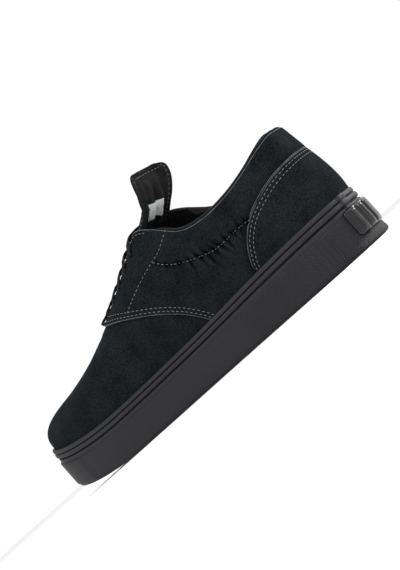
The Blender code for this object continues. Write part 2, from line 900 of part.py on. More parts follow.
def make_tongue(suede, group):
    sections = [tongue_section(turn) for turn in TONGUE_TURNS]
    forward = top_point(LATERAL, VAMP_TURN)[0] - top_point(LATERAL, THROAT_BASE)[0]
    root = forward.normalized() * TONGUE_ROOT - Vector((0, 0, 2 * TONGUE_GAP))
    sections.insert(0, [Vector((point.x * ROOT_WIDTH, point.y, point.z)) + root
                        for point in sections[0]])
    crown = (sections[-1][3] + sections[-1][4]) / 2
    for share, width, arch in TONGUE_END:
        sections.append(free_section(crown, share, width * THROAT_WIDTH, arch * THROAT_WIDTH))
    made = sheet("tongue", [(LATERAL, sections)], suede, group)
    orient_up(made)
    thicken(made, TONGUE_THICKNESS, even=False)
    return made


def orient_up(item):
    """Make an open sheet face up and forward."""
    total = sum((face.normal * face.area for face in item.data.polygons), Vector())
    if total.z < 0:
        item.data.flip_normals()
        item.data.update()


def lace_half(side, turn, lift):
    """Stations of a lace from inside its hole to the throat edge."""
    rise = rise_below_edge(side, turn, EYELET_INSET)
    hole = upper_point(side, turn, rise)
    out = surface_out(side, turn, rise)
    stations = [(hole - out * UPPER_WALL / 2, LACE_STUB), (hole + out * lift, LACE_STUB)]
    for share in (0.3, 0.65, 1.0):
        place = blend(rise, 1.0, share)
        lifted = upper_point(side, turn, place) + surface_out(side, turn, min(place, EDGE_RISE)) * lift
        stations.append((lifted, LACE_WIDTH))
    return stations


def lace_bar(name, turn, material_used, group):
    """Flat lace from one eyelet over the tongue to the other, its ends in the holes."""
    lift = OVERLAY_GAP + OVERLAY_WALL + CLEARANCE + LACE_THICKNESS / 2 + LACE_EASE
    left = lace_half(LATERAL, turn, lift)
    right = lace_half(MEDIAL, turn, lift)
    start, end = left[-1][0], right[-1][0]
    crown = [(place, LACE_WIDTH) for place in crown_points(start, end, LACE_ARCH)]
    stations = left + crown + list(reversed(right))
    across = (end - start).normalized()
    out = surface_out(LATERAL, turn, EDGE_RISE) + surface_out(MEDIAL, turn, EDGE_RISE)
    return ribbon(name, stations, out.cross(across).normalized(), material_used, group)


def ribbon(name, stations, wide_way, material_used, group):
    """Closed flat band along stations of (place, width)."""
    places = [place for place, width in stations]
    shape = bmesh.new()
    rings = []
    for index, (place, width) in enumerate(stations):
        before = places[max(index - 1, 0)]
        after = places[min(index + 1, len(places) - 1)]
        flat = (after - before).normalized().cross(wide_way).normalized()
        ring = []
        for wide, thick in ((-1, -1), (1, -1), (1, 1), (-1, 1)):
            corner = place + wide_way * (wide * width / 2) + flat * (thick * LACE_THICKNESS / 2)
            ring.append(shape.verts.new(corner))
        rings.append(ring)
    for first, second in zip(rings, rings[1:]):
        for index in range(4):
            after = (index + 1) % 4
            shape.faces.new([first[index], first[after], second[after], second[index]])
    shape.faces.new(rings[0])
    shape.faces.new(list(reversed(rings[-1])))
    bmesh.ops.recalc_face_normals(shape, faces=shape.faces)
    mesh = bpy.data.meshes.new(name)
    shape.to_mesh(mesh)
    shape.free()
    made = bpy.data.objects.new(name, mesh)
    made.data.materials.append(material_used)
    group.objects.link(made)
    return made


def make_laces(lace, group):
    for pair, turn in enumerate(eyelet_turns()):
        lace_bar("lace_bar_%d" % (pair + 1), turn, lace, group)


def make_heel_tab(rubber, group):
    """Moulded plate on the back of the wall, with soft upright waves."""
    def columns(side):
        reach = SIDES[side][1][-1]
        made = []
        for index in range(TAB_STEPS + 1):
            way = index / TAB_STEPS * TAB_WIDTH / 2
            turn = way / reach
            wave = TAB_WAVE * (1 + math.cos(2 * math.pi * TAB_WAVES * way / TAB_WIDTH)) / 2
            outset = CLEARANCE + TAB_WALL + wave
            column = []
            for row in range(TAB_ROWS + 1):
                z = TAB_BOTTOM + TAB_HEIGHT * row / TAB_ROWS
                column.append(ring_point(side, turn, outset, z))
            made.append(column)
        return made

    made = sheet("heel_tab", both_sides(columns), rubber, group)
    thicken(made, TAB_WALL)
    return made


def main():
    clear_scene()
    shoe = collection("skate_shoe")
    cutters = collection("cutters")
    rubber = material("black_rubber", BLACK_RUBBER, 0.62)
    gloss = material("gloss_rubber", GLOSS_RUBBER, 0.22)
    gum = material("gum_rubber", GUM, 0.70)
    suede = material("suede", SUEDE, 0.95)
    cloth = material("lining_cloth", LINING, 0.90)
    lace = material("lace_cloth", LACE_BLACK, 0.90)
    make_outsole(gum, shoe, cutters)
    make_midsole(rubber, shoe)
    make_heel_tab(gloss, shoe)
    make_insole(cloth, shoe)
    holes = make_eyelet_cutter(cutters)
    make_upper(suede, shoe, holes)
    make_quarters(suede, shoe, cutters, holes)
    make_counter(suede, shoe, cutters)
    make_collar_lining(cloth, shoe)
    make_tongue(suede, shoe)
    make_laces(lace, shoe)


main()
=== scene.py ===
"""Skateboarding shoe, right foot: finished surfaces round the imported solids.

Frame: metres, +Y to the toe, +X to the outer side, +Z up, origin on the ground under the
middle of the heel. The curves of the last are worked out from the same sizes and tables
as the solids, with many more columns and rows.
"""
import functools
import json
import math

import bmesh
import bpy
import numpy as np
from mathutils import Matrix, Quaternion, Vector

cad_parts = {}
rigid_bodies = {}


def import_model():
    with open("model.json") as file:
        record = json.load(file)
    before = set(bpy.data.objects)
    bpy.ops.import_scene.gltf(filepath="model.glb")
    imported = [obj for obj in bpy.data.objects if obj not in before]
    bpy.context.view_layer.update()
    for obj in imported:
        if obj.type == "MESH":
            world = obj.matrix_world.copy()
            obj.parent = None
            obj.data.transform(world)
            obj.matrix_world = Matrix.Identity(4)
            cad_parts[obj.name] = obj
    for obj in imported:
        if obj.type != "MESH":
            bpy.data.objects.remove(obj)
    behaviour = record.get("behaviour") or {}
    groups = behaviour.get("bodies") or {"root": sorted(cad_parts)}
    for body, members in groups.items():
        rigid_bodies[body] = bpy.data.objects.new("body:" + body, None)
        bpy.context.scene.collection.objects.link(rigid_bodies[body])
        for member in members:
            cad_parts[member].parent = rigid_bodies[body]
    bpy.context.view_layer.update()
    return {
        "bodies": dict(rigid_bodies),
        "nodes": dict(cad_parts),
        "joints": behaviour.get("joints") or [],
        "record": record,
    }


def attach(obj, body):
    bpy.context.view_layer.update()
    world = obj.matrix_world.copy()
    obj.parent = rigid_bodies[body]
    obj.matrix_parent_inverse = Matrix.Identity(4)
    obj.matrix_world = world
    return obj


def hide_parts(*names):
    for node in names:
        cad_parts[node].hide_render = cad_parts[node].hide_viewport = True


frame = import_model()

bl_info = {
    "name": "Skateboarding shoe",
    "version": (1, 0, 0),
    "blender": (4, 5, 0),
    "location": "3D View > Sidebar > Shoe",
    "description": "Builds the finished surfaces of a low-top suede skateboarding shoe",
    "category": "Add Mesh",
}

# Sizes of the last and the sole
LENGTH = 0.295
HEEL_WIDTH = 0.073
WAIST_WIDTH = 0.071
BALL_WIDTH = 0.107
HEEL_SEAT = 0.040
HEEL_HEIGHT = 0.092
INSTEP_HEIGHT = 0.106
TOE_HEIGHT = 0.062
COLLAR_WIDTH = 0.060
THROAT_WIDTH = 0.044
TOE_SPRING = 0.011
SPRING_START = 0.70
CLEARANCE = 0.0003
FOXING_HEIGHT = 0.036
FOXING_WALL = 0.0028
PLATFORM_HEIGHT = 0.0155
GUM_THICKNESS = 0.0050
GUM_EDGE_BEVEL = 0.0008
RIM_WIDTH = 0.0036
WALL_LAP = 0.0006
WALL_FOOT = 0.0005

# Strip round the toe
BUMPER_DEPTH = 0.0009
BUMPER_START = 0.80
BUMPER_RAMP = 0.02
BUMPER_LOW = 0.10
BUMPER_HIGH = 0.66

# Tread
TREAD_PITCH = 0.0121
TREAD_ANGLE = math.radians(30.5)
TREAD_TURN = math.radians(-12.0)
WIDE_RIB = 0.0030
NARROW_RIB = 0.0021
POCKET_DEPTH = 0.0028
POCKET_TAPER = 0.60
CUT_BELOW = 0.0005
LEAST_POCKET = 0.25
LEAST_SIDE = 0.0003

# Upper
UPPER_WALL = 0.0018
FOOT_DROP = 0.004
OVERLAY_WALL = 0.0011
COUNTER_WALL = 0.0015
OVERLAY_GAP = 0.0005
TUCKED_GAP = 0.0001
SIDE_BULGE = 0.0022
WALL_LEAVE = 0.40
WALL_ARRIVE = 0.34
CREST_ARRIVE = 0.12
CREST_DROP = 0.10
INSOLE_THICKNESS = 0.0045
THROAT_TOP = 0.420
THROAT_BASE = 0.655
VAMP_TURN = 0.730
COLLAR_FRONT = 0.375

# Tongue
TONGUE_THICKNESS = 0.0042
TONGUE_EDGE = 0.0022
TONGUE_ROUND = 0.004
EDGE_SHARE = 0.35
TONGUE_EDGE_BULGE = 0.0006
TONGUE_ROW = 0.0034
ROW_SINK = 0.0006
ROW_SINK_WIDTH = 0.0009
ROW_CORNER = 0.0085
ROW_SPOTS = 40
FOLD_DEPTH = 0.0008
FOLD_TURNS = 520
FOLD_WANDER = 1.2
WANDER_TURNS = 160
FOLD_TIP = (0.004, 0.010)
FOLD_MARGIN = (0.002, 0.006)
FOLD_END = (0.03, 0.05)
BACKED_WAY = (0.030, 0.040)
SEWN_RAMP = 0.002
PUFF_ACROSS = (0.08, 0.30)
TONGUE_RISE = 0.026
TONGUE_LEAN = 0.020
TONGUE_LEAVE = 0.5
TONGUE_ARRIVE = 0.4
TONGUE_GAP = 0.0014
TONGUE_ROOT = 0.008
ROOT_WIDTH = 0.86
# distance from the tip, puff of the tongue's front there: it fills up to the laces
TONGUE_PUFF = ((0.0, 0.0008), (0.040, 0.0010), (0.052, 0.0018), (0.064, 0.0023), (0.076, 0.0030),
               (0.088, 0.0038), (0.100, 0.0050), (0.200, 0.0050))
PUFF_START = 0.004
PUFF_FULL = 0.012
LABEL_WIDTH = 0.021
LABEL_HEIGHT = 0.009
LABEL_DROP = 0.0205
LABEL_THICKNESS = 0.0004
LABEL_REACH = 0.010
LABEL_STEPS = 24

# Collar pad
PAD_COLUMNS = 150
PAD_LOW_RISE = 0.52
PAD_TOP_RISE = 0.985
PAD_OUTER_ROWS = 14
PAD_INNER_ROWS = 30
PAD_TAPER = 0.03
PAD_ROOT = 3
PAD_END_COLUMNS = 4
# inward from the wall's outer face, up from its top edge
PAD_ROLL = ((0.0021, 0.0004), (0.0008, 0.0004), (0.0001, 0.0006), (0.0002, 0.0013), (0.0010, 0.0019),
            (0.0024, 0.0022), (0.0040, 0.0020), (0.0054, 0.0013), (0.0063, 0.0002))
# distance below the top edge, thickness of the pad
PAD_FILL = ((0.000, 0.0044), (0.004, 0.0052), (0.012, 0.0054), (0.022, 0.0044), (0.032, 0.0026),
            (0.040, 0.0010))

# Cloth of the padded pieces
CLOTH_FRAMES = 14
CLOTH_PRESSURE = 4.0
CLOTH_BENDING = 0.05
CLOTH_MASS = 0.1
CLOTH_QUALITY = 4
CLOTH_GROWTH = 0.03
MOST_SWELL = 0.0012

# Heel tab
TAB_WIDTH = 0.041
TAB_BOTTOM = 0.0075
TAB_HEIGHT = 0.0185
TAB_WALL = 0.0012
TAB_EDGE = 0.0016
TAB_CORNER = 0.0030
TAB_FADE = 0.0030
# way across the tab from its inner end, height of its relief
TAB_RELIEF = (
    (-0.0205, 0.0000),
    (-0.0190, 0.0002),
    (-0.0172, 0.0009),
    (-0.0145, 0.0020),
    (-0.0122, 0.0014),
    (-0.0104, 0.0001),
    (-0.0090, 0.0001),
    (-0.0072, 0.0012),
    (-0.0045, 0.0021),
    (-0.0018, 0.0013),
    (0.0000, 0.0001),
    (0.0012, 0.0001),
    (0.0020, 0.0012),
    (0.0028, 0.0001),
    (0.0060, 0.0003),
    (0.0120, 0.0005),
    (0.0205, 0.0000),
)

# Lacing
EYELET_PAIRS = 6
EYELET_HOLE = 0.0044
EYELET_INSET = 0.0085
EYELET_END_SHARE = 0.028
CUT_REACH = 0.012
LACE_WIDTH = 0.0070
LACE_THICKNESS = 0.0014
LACE_STUB = 0.0026
LACE_EASE = 0.0001
LACE_ARCH = 0.06
LACE_SIDES = 20
LACE_FLATNESS = 0.55
LACE_ROUNDNESS = 0.75
LACE_STEPS = 8
LACE_SHARES = (0.3, 0.65, 1.0)

# Overlap of the side wall's strip at the heel, on the inner side
OVERLAP_START = 0.0058
OVERLAP_END = 0.0142
OVERLAP_DEPTH = 0.0006
OVERLAP_EDGE = 0.0009
OVERLAP_FADE = 0.6

LATERAL = 1
MEDIAL = -1

# Sole edge seen from above, heel back to toe tip: across is a share of half the named
# width, along a share of the length.
LATERAL_EDGE = (
    # across, width, along
    (0.05, HEEL_WIDTH, 0.000),
    (0.42, HEEL_WIDTH, 0.008),
    (0.80, HEEL_WIDTH, 0.038),
    (0.99, HEEL_WIDTH, 0.100),
    (1.01, HEEL_WIDTH, 0.185),
    (1.06, WAIST_WIDTH, 0.270),
    (1.19, WAIST_WIDTH, 0.370),
    (0.91, BALL_WIDTH, 0.470),
    (0.995, BALL_WIDTH, 0.570),
    (1.02, BALL_WIDTH, 0.660),
    (0.985, BALL_WIDTH, 0.755),
    (0.875, BALL_WIDTH, 0.845),
    (0.665, BALL_WIDTH, 0.920),
    (0.35, BALL_WIDTH, 0.977),
    (-0.08, BALL_WIDTH, 1.000),
)
MEDIAL_EDGE = (
    # across, width, along
    (-0.05, HEEL_WIDTH, 0.000),
    (0.40, HEEL_WIDTH, 0.010),
    (0.78, HEEL_WIDTH, 0.040),
    (0.975, HEEL_WIDTH, 0.105),
    (0.955, HEEL_WIDTH, 0.190),
    (0.86, WAIST_WIDTH, 0.285),
    (0.805, WAIST_WIDTH, 0.375),
    (0.585, BALL_WIDTH, 0.455),
    (0.735, BALL_WIDTH, 0.540),
    (0.895, BALL_WIDTH, 0.630),
    (0.98, BALL_WIDTH, 0.720),
    (0.975, BALL_WIDTH, 0.800),
    (0.905, BALL_WIDTH, 0.880),
    (0.71, BALL_WIDTH, 0.950),
    (0.42, BALL_WIDTH, 0.989),
    (0.08, BALL_WIDTH, 1.000),
)

# Heights of the sole along its length, as a share of their height at the heel
SOLE_TAPER = ((0.0, 1.0), (0.25, 0.965), (0.50, 0.885), (0.70, 0.855), (1.0, 0.90))

# Sideways place of the ridge of the instep, as a share of the ball width
RIDGE_SHIFT = ((0.0, 0.0), (0.25, 0.015), (0.45, 0.005), (0.65, -0.025), (0.85, -0.055), (1.0, -0.06))

# Upper edge from the heel back round the collar, down the throat and along the ridge of
# the vamp. turn is the share of the sole edge, level says how flat the wall arrives.
TOP_EDGE = (
    # turn, across, along, height, level
    (0.000, 0.0, 0.030, HEEL_HEIGHT, 0.00),
    (0.045, 0.42 * COLLAR_WIDTH / 2, 0.034, 0.995 * HEEL_HEIGHT, 0.00),
    (0.090, 0.74 * COLLAR_WIDTH / 2, 0.058, 0.965 * HEEL_HEIGHT, 0.02),
    (0.140, 0.93 * COLLAR_WIDTH / 2, 0.105, 0.920 * HEEL_HEIGHT, 0.04),
    (0.200, 1.00 * COLLAR_WIDTH / 2, 0.170, 0.890 * HEEL_HEIGHT, 0.06),
    (0.270, 0.97 * COLLAR_WIDTH / 2, 0.245, 0.895 * HEEL_HEIGHT, 0.10),
    (0.330, 0.90 * COLLAR_WIDTH / 2, 0.310, 0.950 * HEEL_HEIGHT, 0.18),
    (0.385, 0.82 * COLLAR_WIDTH / 2, 0.366, 0.955 * INSTEP_HEIGHT, 0.32),
    (0.420, 1.02 * THROAT_WIDTH / 2, 0.402, 1.010 * INSTEP_HEIGHT, 0.42),
    (0.450, 0.96 * THROAT_WIDTH / 2, 0.432, 0.985 * INSTEP_HEIGHT, 0.50),
    (0.510, 0.84 * THROAT_WIDTH / 2, 0.500, 0.895 * INSTEP_HEIGHT, 0.62),
    (0.570, 0.70 * THROAT_WIDTH / 2, 0.568, 0.815 * INSTEP_HEIGHT, 0.74),
    (0.615, 0.54 * THROAT_WIDTH / 2, 0.614, 0.768 * INSTEP_HEIGHT, 0.84),
    (0.640, 0.34 * THROAT_WIDTH / 2, 0.636, 0.750 * INSTEP_HEIGHT, 0.92),
    (0.655, 0.00 * THROAT_WIDTH / 2, 0.645, 0.745 * INSTEP_HEIGHT, 0.97),
    (0.730, 0.0, 0.710, 0.670 * INSTEP_HEIGHT, 1.00),
    (0.820, 0.0, 0.790, 1.045 * TOE_HEIGHT, 1.00),
    (0.910, 0.0, 0.862, 1.000 * TOE_HEIGHT, 1.00),
    (1.000, 0.0, 0.920, 0.945 * TOE_HEIGHT, 1.00),
)

# Side profile of the wall of the sole, bottom to top: outset from the outline and height
# as a share of the foxing height, with rounded bands, a groove and the deep line.
WALL_PROFILE = (
    # outset, height share
    (-0.0012, 0.012),
    (-0.0006, 0.020),
    (-0.0002, 0.035),
    (0.0000, 0.060),
    (0.0000, 0.101),
    (0.0000, 0.115),
    (0.0000, 0.200),
    (0.0000, 0.300),
    (0.0000, 0.400),
    (0.0000, 0.500),
    (0.0000, 0.600),
    (0.0000, 0.630),
    (0.0000, 0.645),
    (-0.0001, 0.655),
    (-0.0005, 0.664),
    (-0.0006, 0.675),
    (-0.0004, 0.690),
    (-0.0004, 0.745),
    (-0.0006, 0.758),
    (-0.0012, 0.766),
    (-0.0019, 0.772),
    (-0.0019, 0.784),
    (-0.0009, 0.791),
    (-0.0002, 0.802),
    (0.0000, 0.820),
    (0.0000, 0.862),
    (-0.0003, 0.878),
    (-0.0009, 0.890),
    (-0.0013, 0.898),
    (-0.0008, 0.907),
    (-0.0004, 0.918),
    (-0.0004, 0.955),
    (-0.0005, 0.975),
    (-0.0008, 0.988),
    (-0.0012, 0.996),
    (-0.0017, 1.000),
)

# Painted shade on the wall of the sole, dark at its foot and top edge, in the grooves and in the deep line,
# and lighter towards the top: height share and level of its colour
WALL_SHADE_LEVELS = ((0.0, 0.30), (1.0, 0.60), (0.05, 0.55), (0.12, 0.72), (0.60, 0.72), (0.665, 0.62), (0.69, 0.85),
              (0.75, 0.85), (0.768, 0.20), (0.788, 0.20), (0.805, 0.92), (0.87, 0.92), (0.898, 0.35),
              (0.92, 1.0), (0.97, 1.0))

# Where the cross hatch of the wall ends, as shares of the foxing height
HATCH_FULL = 0.62
HATCH_TOP = 0.655

# Lines seen from the side: along is a share of the length, height of the heel height
COUNTER_EDGE = ((0.228, 0.33), (0.226, 0.37), (0.222, 0.42), (0.206, 0.50), (0.186, 0.575),
                (0.155, 0.650), (0.122, 0.700), (0.072, 0.752), (0.027, 0.780), (-0.02, 0.800),
                (-0.07, 0.815))
QUARTER_EDGE = ((0.385, 0.20), (0.395, 0.30), (0.405, 0.38), (0.440, 0.52), (0.495, 0.665),
                (0.560, 0.775), (0.625, 0.835), (0.660, 0.880), (0.672, 1.00), (0.672, 1.40))
COLLAR_SEAM = ((0.120, 0.655), (0.156, 0.663), (0.197, 0.674), (0.241, 0.675), (0.275, 0.686),
               (0.305, 0.717), (0.349, 0.772), (0.385, 0.840), (0.412, 0.930))
EYESTAY_LINE = ((0.318, 1.090), (0.340, 1.010), (0.375, 0.950), (0.420, 0.915), (0.470, 0.868),
                (0.520, 0.800), (0.565, 0.730), (0.590, 0.690))

# Free end of the tongue: share of its rise, half its width and its arch, both as shares
# of the throat width
TONGUE_END = ((0.22, 0.455, 0.15), (0.44, 0.51, 0.17), (0.66, 0.565, 0.18), (0.82, 0.575, 0.17),
              (0.92, 0.550, 0.15), (0.975, 0.480, 0.12), (1.00, 0.360, 0.07))
ACROSS_TONGUE = (-1.0, -0.86, -0.52, -0.18, 0.18, 0.52, 0.86, 1.0)
TONGUE_TURNS = (0.636, 0.612, 0.575, 0.535, 0.495, 0.460, 0.430)
TONGUE_REACH = ((0.42, 0.06, 0.15), (0.50, 0.15, 0.15), (0.58, 0.22, 0.12), (0.655, 0.26, 0.02))
CROWN_SHARES = (0.2, 0.4, 0.6, 0.8)

# Puckers across the collar seam: place as a share of the seam, depth, reach below and
# above the seam, and how far they lean forward
PUCKERS = (
    # place, depth, below, above, lean
    (0.06, 0.0004, 0.0040, 0.0020, 0.3),
    (0.13, 0.0005, 0.0055, 0.0030, 0.2),
    (0.20, 0.0006, 0.0050, 0.0035, -0.2),
    (0.27, 0.0005, 0.0065, 0.0030, 0.4),
    (0.34, 0.0008, 0.0060, 0.0040, 0.1),
    (0.41, 0.0009, 0.0075, 0.0045, 0.5),
    (0.47, 0.0007, 0.0055, 0.0050, 0.3),
    (0.54, 0.0010, 0.0085, 0.0040, 0.4),
    (0.61, 0.0008, 0.0060, 0.0055, 0.6),
    (0.69, 0.0007, 0.0070, 0.0035, 0.2),
    (0.78, 0.0005, 0.0050, 0.0030, 0.3),
    (0.88, 0.0004, 0.0040, 0.0025, 0.1),
)
PUCKER_WIDTH = 0.0010
PUCKER_GAIN = 1.35
COLLAR_PUFF = 0.0017
SEAM_DIP = 0.0007
SEAM_DIP_WIDTH = 0.0015
SOFT_EDGE = 0.0003
COUNTER_DIP = 0.0007
COUNTER_DIP_WIDTH = 0.0022
STITCH_DIP = 0.00022
STITCH_DIP_WIDTH = 0.0007
CUT_EDGE_WIDTH = 0.0005
LEAST_RISE = 0.004
MOST_LOW = 0.996
FRONT_FROM = 0.30
HEEL_UNTIL = 0.35
# relief depth at which the painted shade and painted highlight of the suede are full
SHADE_DEPTH = 0.0008
LEAST_RELIEF = -0.0013
TOP_ROLL = 0.0007
TOP_ROLL_WIDTH = 0.0030

# Distances of the stitch rows from the edges they follow
FIRST_ROW = 0.0020
SECOND_ROW = 0.0045
THROAT_ROW = 0.0026
# Width and height of the flat dark disc of painted shade that stands for a needle hole, as shares of the
# thread's width
HOLE_WIDTH = 1.25
HOLE_HEIGHT = 0.3
ROW_SPOTS_ALONG = 260
ROW_SPOTS_BELOW = 160
ROW_RISES = (0.012, 0.995)
SEAM_FRONT = 0.408
SEAM_BACK_GAP = 0.001

# Stage
CAMERA_AZIMUTH = math.radians(-58)
CAMERA_DISTANCE = 0.90
CAMERA_HEIGHT = 0.010
CAMERA_ROLL = math.radians(-42)
CAMERA_LENS = 86.6
CAMERA_AIM = (0.0, 0.083, 0.055)
CAMERA_NEAR = 0.01
FLOOR_RADIUS = 30
FLOOR_SIDES = 96
FLOOR_COLOUR = (0.86, 0.86, 0.86, 1)
SKY_COLOUR = (1, 1, 1, 1)
SKY_STRENGTH = 1.0
LIGHTS = (
    # name, place, aim, size, power, colour
    ("key", (-1.0, -0.9, 1.5), (0, 0.05, 0.04), 1.0, 26, (1, 0.99, 0.98)),
    ("fill", (-1.3, 0.9, 0.9), (0, 0.1, 0.04), 1.4, 8, (0.95, 0.98, 1)),
    ("back", (1.25, -0.85, 0.50), (0, -0.03, 0.03), 0.5, 18, (1, 1, 1)),
)

# Fineness
CURVE_STEPS = 24
LINE_STEPS = 10
TONGUE_STEPS_ALONG = 8
TONGUE_STEPS_ACROSS = 7
RING_COLUMNS = 300
UPPER_ROWS = 44
QUARTER_COLUMNS = 380
QUARTER_ROWS = 56
COUNTER_ROWS = 40
SEARCH_ROWS = 80
TURN_STEP = 0.004
RISE_STEP = 0.02
MERGE = 0.00002
PANEL_MERGE = 0.00006


def table_at(table, key):
    """Smooth value of every other column of a table at a value of its first one."""
    last = len(table) - 1
    if key <= table[0][0]:
        return table[0][1:]
    if key >= table[last][0]:
        return table[last][1:]
    low = 0
    while table[low + 1][0] < key:
        low += 1
    start, end = table[low], table[low + 1]
    before = table[max(low - 1, 0)]
    after = table[min(low + 2, last)]
    span = end[0] - start[0]
    share = (key - start[0]) / span
    values = []
    for column in range(1, len(start)):
        leave = (end[column] - before[column]) / (end[0] - before[0]) * span
        arrive = (after[column] - start[column]) / (after[0] - start[0]) * span
        values.append(hermite(start[column], end[column], leave, arrive, share))
    return values


def hermite(start, end, leave, arrive, share):
    square = share * share
    cube = square * share
    first = start * (2 * cube - 3 * square + 1) + leave * (cube - 2 * square + share)
    return first + end * (3 * square - 2 * cube) + arrive * (cube - square)


def bezier(start, leave, arrive, end, share):
    left = 1 - share
    return (start * left ** 3 + leave * (3 * left * left * share)
            + arrive * (3 * left * share * share) + end * share ** 3)


def blend(start, end, share):
    return start + (end - start) * share


def smooth(value, low, high):
    """0 below low, 1 above high, with a soft ramp between."""
    share = np.clip((value - low) / (high - low), 0, 1)
    return share * share * (3 - 2 * share)


def unit(vector):
    return vector / np.linalg.norm(vector, axis=-1, keepdims=True)


def along_y(share):
    return share * LENGTH - HEEL_SEAT


def spline(points, steps):
    """Evenly weighted smooth curve through points, with a number of steps between each two."""
    points = np.asarray(points, float)
    knots = np.vstack([2 * points[0] - points[1], points, 2 * points[-1] - points[-2]])
    fine = []
    for index in range(1, len(knots) - 2):
        before, start, end, after = knots[index - 1:index + 3]
        for step in range(steps):
            fine.append(hermite(start, end, (end - before) / 2, (after - start) / 2, step / steps))
    fine.append(points[-1])
    return np.array(fine)


def lengths(points):
    steps = np.linalg.norm(np.diff(points, axis=0), axis=1)
    return np.concatenate([[0.0], np.cumsum(steps)])


def build_side(rows, side):
    """Points, distance along and outward normals of one side of the sole edge."""
    knots = [np.array((side * across * width / 2, along_y(along))) for across, width, along in rows]
    ring = [knots[1] * (-1, 1)] + knots + [knots[-2] * (-1, 1)]
    points = spline(ring, CURVE_STEPS)[CURVE_STEPS:-CURVE_STEPS]
    run = unit(np.gradient(points, axis=0))
    normals = np.stack([run[:, 1], -run[:, 0]], axis=1) * side
    normals[0] = (0, -1)
    normals[-1] = (0, 1)
    return points, lengths(points), normals


SIDES = {LATERAL: build_side(LATERAL_EDGE, LATERAL), MEDIAL: build_side(MEDIAL_EDGE, MEDIAL)}
THIN_KEYS = np.linspace(0, 1, 201)
THIN_VALUES = np.array([table_at(SOLE_TAPER, key)[0] for key in THIN_KEYS])


def edge(side, turn):
    """Point and outward normal of the sole edge at a share of its way to the toe."""
    points, reach, normals = SIDES[side]
    goal = turn * reach[-1]
    place = np.array([np.interp(goal, reach, points[:, axis]) for axis in (0, 1)])
    normal = np.array([np.interp(goal, reach, normals[:, axis]) for axis in (0, 1)])
    return place, unit(normal)


def bent(points):
    """Bend points of the flat sole: it thins towards the ball and the toe springs up."""
    points = np.array(points, float)
    along = (points[..., 1] + HEEL_SEAT) / LENGTH
    thin = np.interp(along, THIN_KEYS, THIN_VALUES)
    past = np.maximum(along - SPRING_START, 0) / (1 - SPRING_START)
    points[..., 2] = points[..., 2] * thin + TOE_SPRING * past * past
    return points


def flat_ring(side, turn, outsets, heights):
    """Points of the unbent sole at outsets from its edge."""
    place, normal = edge(side, turn)
    outsets = np.atleast_1d(outsets)
    heights = np.broadcast_to(heights, outsets.shape)
    return np.stack([place[0] + normal[0] * outsets, place[1] + normal[1] * outsets, heights], axis=1)


def ring_points(side, turn, outsets, heights):
    return bent(flat_ring(side, turn, outsets, heights))


def top_point(side, turn):
    across, along, height, level = table_at(TOP_EDGE, turn)
    across = max(across, 0) if turn < THROAT_BASE else 0
    ridge = table_at(RIDGE_SHIFT, along)[0] * BALL_WIDTH
    return np.array((ridge + side * across, along_y(along), height)), level


UPPER_INSET = -(FOXING_WALL + CLEARANCE)


@functools.lru_cache(maxsize=None)
def wall_controls(side, turn):
    """The four control points of one column of the upper."""
    foot = ring_points(side, turn, UPPER_INSET, FOXING_HEIGHT)[0]
    top, level = top_point(side, turn)
    normal = edge(side, turn)[1]
    reach = np.linalg.norm(top - foot)
    out = unit(np.array((foot[0] - top[0], foot[1] - top[1], 0)))
    down = np.array((0, 0, -1.0))
    arrive_way = unit(down * (1 - level) + out * level + down * (CREST_DROP * level))
    leave = foot + np.array((normal[0] * SIDE_BULGE, normal[1] * SIDE_BULGE, reach * WALL_LEAVE))
    arrive = top + arrive_way * (reach * (WALL_ARRIVE + CREST_ARRIVE * level))
    return foot, leave, arrive, top


def wall_points(side, turn, rises):
    """Points of the outer face of the upper, rise 0 at the foxing and 1 at its top edge."""
    rises = np.atleast_1d(np.asarray(rises, float))[:, None]
    return bezier(*wall_controls(side, min(max(turn, 0.0), 1.0)), rises)


def wall_frame(side, turn, rises):
    """Points and outward normals of the outer face of the upper."""
    rises = np.atleast_1d(np.asarray(rises, float))
    points = wall_points(side, turn, rises)
    run = wall_points(side, turn + TURN_STEP, rises) - wall_points(side, turn - TURN_STEP, rises)
    up = wall_points(side, turn, rises + RISE_STEP / 2) - wall_points(side, turn, rises - RISE_STEP / 2)
    normals = unit(np.cross(run, up) * side)
    if turn >= THROAT_BASE:
        crest = rises > 1 - MERGE
        normals[crest] = unit(normals[crest] * (0, 1, 1))
    return points, normals


def side_line(rows):
    """Smooth line seen from the side through (along share, height share) rows."""
    return spline([(along_y(along), height * HEEL_HEIGHT) for along, height in rows], LINE_STEPS)


COUNTER_LINE = side_line(COUNTER_EDGE)
QUARTER_LINE = side_line(QUARTER_EDGE)
SEAM_LINE = side_line(COLLAR_SEAM)
EYESTAY = side_line(EYESTAY_LINE)


def from_line(line, points):
    """Signed distance of points from a side line, above 0 on its right, and how far along."""
    spots = points[:, None, 1:]
    starts = line[None, :-1]
    runs = line[None, 1:] - starts
    sizes = np.maximum((runs ** 2).sum(-1), 1e-12)
    shares = np.clip(((spots - starts) * runs).sum(-1) / sizes, 0, 1)
    gaps = spots - starts - runs * shares[..., None]
    far = np.linalg.norm(gaps, axis=-1)
    best = far.argmin(1)
    rows = np.arange(len(points))
    run = runs[0, best]
    gap = gaps[rows, best]
    sign = np.sign(run[:, 1] * gap[:, 0] - run[:, 0] * gap[:, 1])
    reach = lengths(line)
    along = reach[best] + shares[rows, best] * np.linalg.norm(run, axis=1)
    return sign * far[rows, best], along / reach[-1]


def crossing(side, turn, line, distance):
    """Rise where a column passes a set distance from a side line, or None."""
    rises = np.linspace(-0.02, 1, SEARCH_ROWS)
    gaps = from_line(line, wall_points(side, turn, rises))[0] - distance
    change = np.nonzero(gaps[:-1] * gaps[1:] < 0)[0]
    if len(change) == 0:
        return None
    low = change[-1]
    return blend(rises[low], rises[low + 1], gaps[low] / (gaps[low] - gaps[low + 1]))


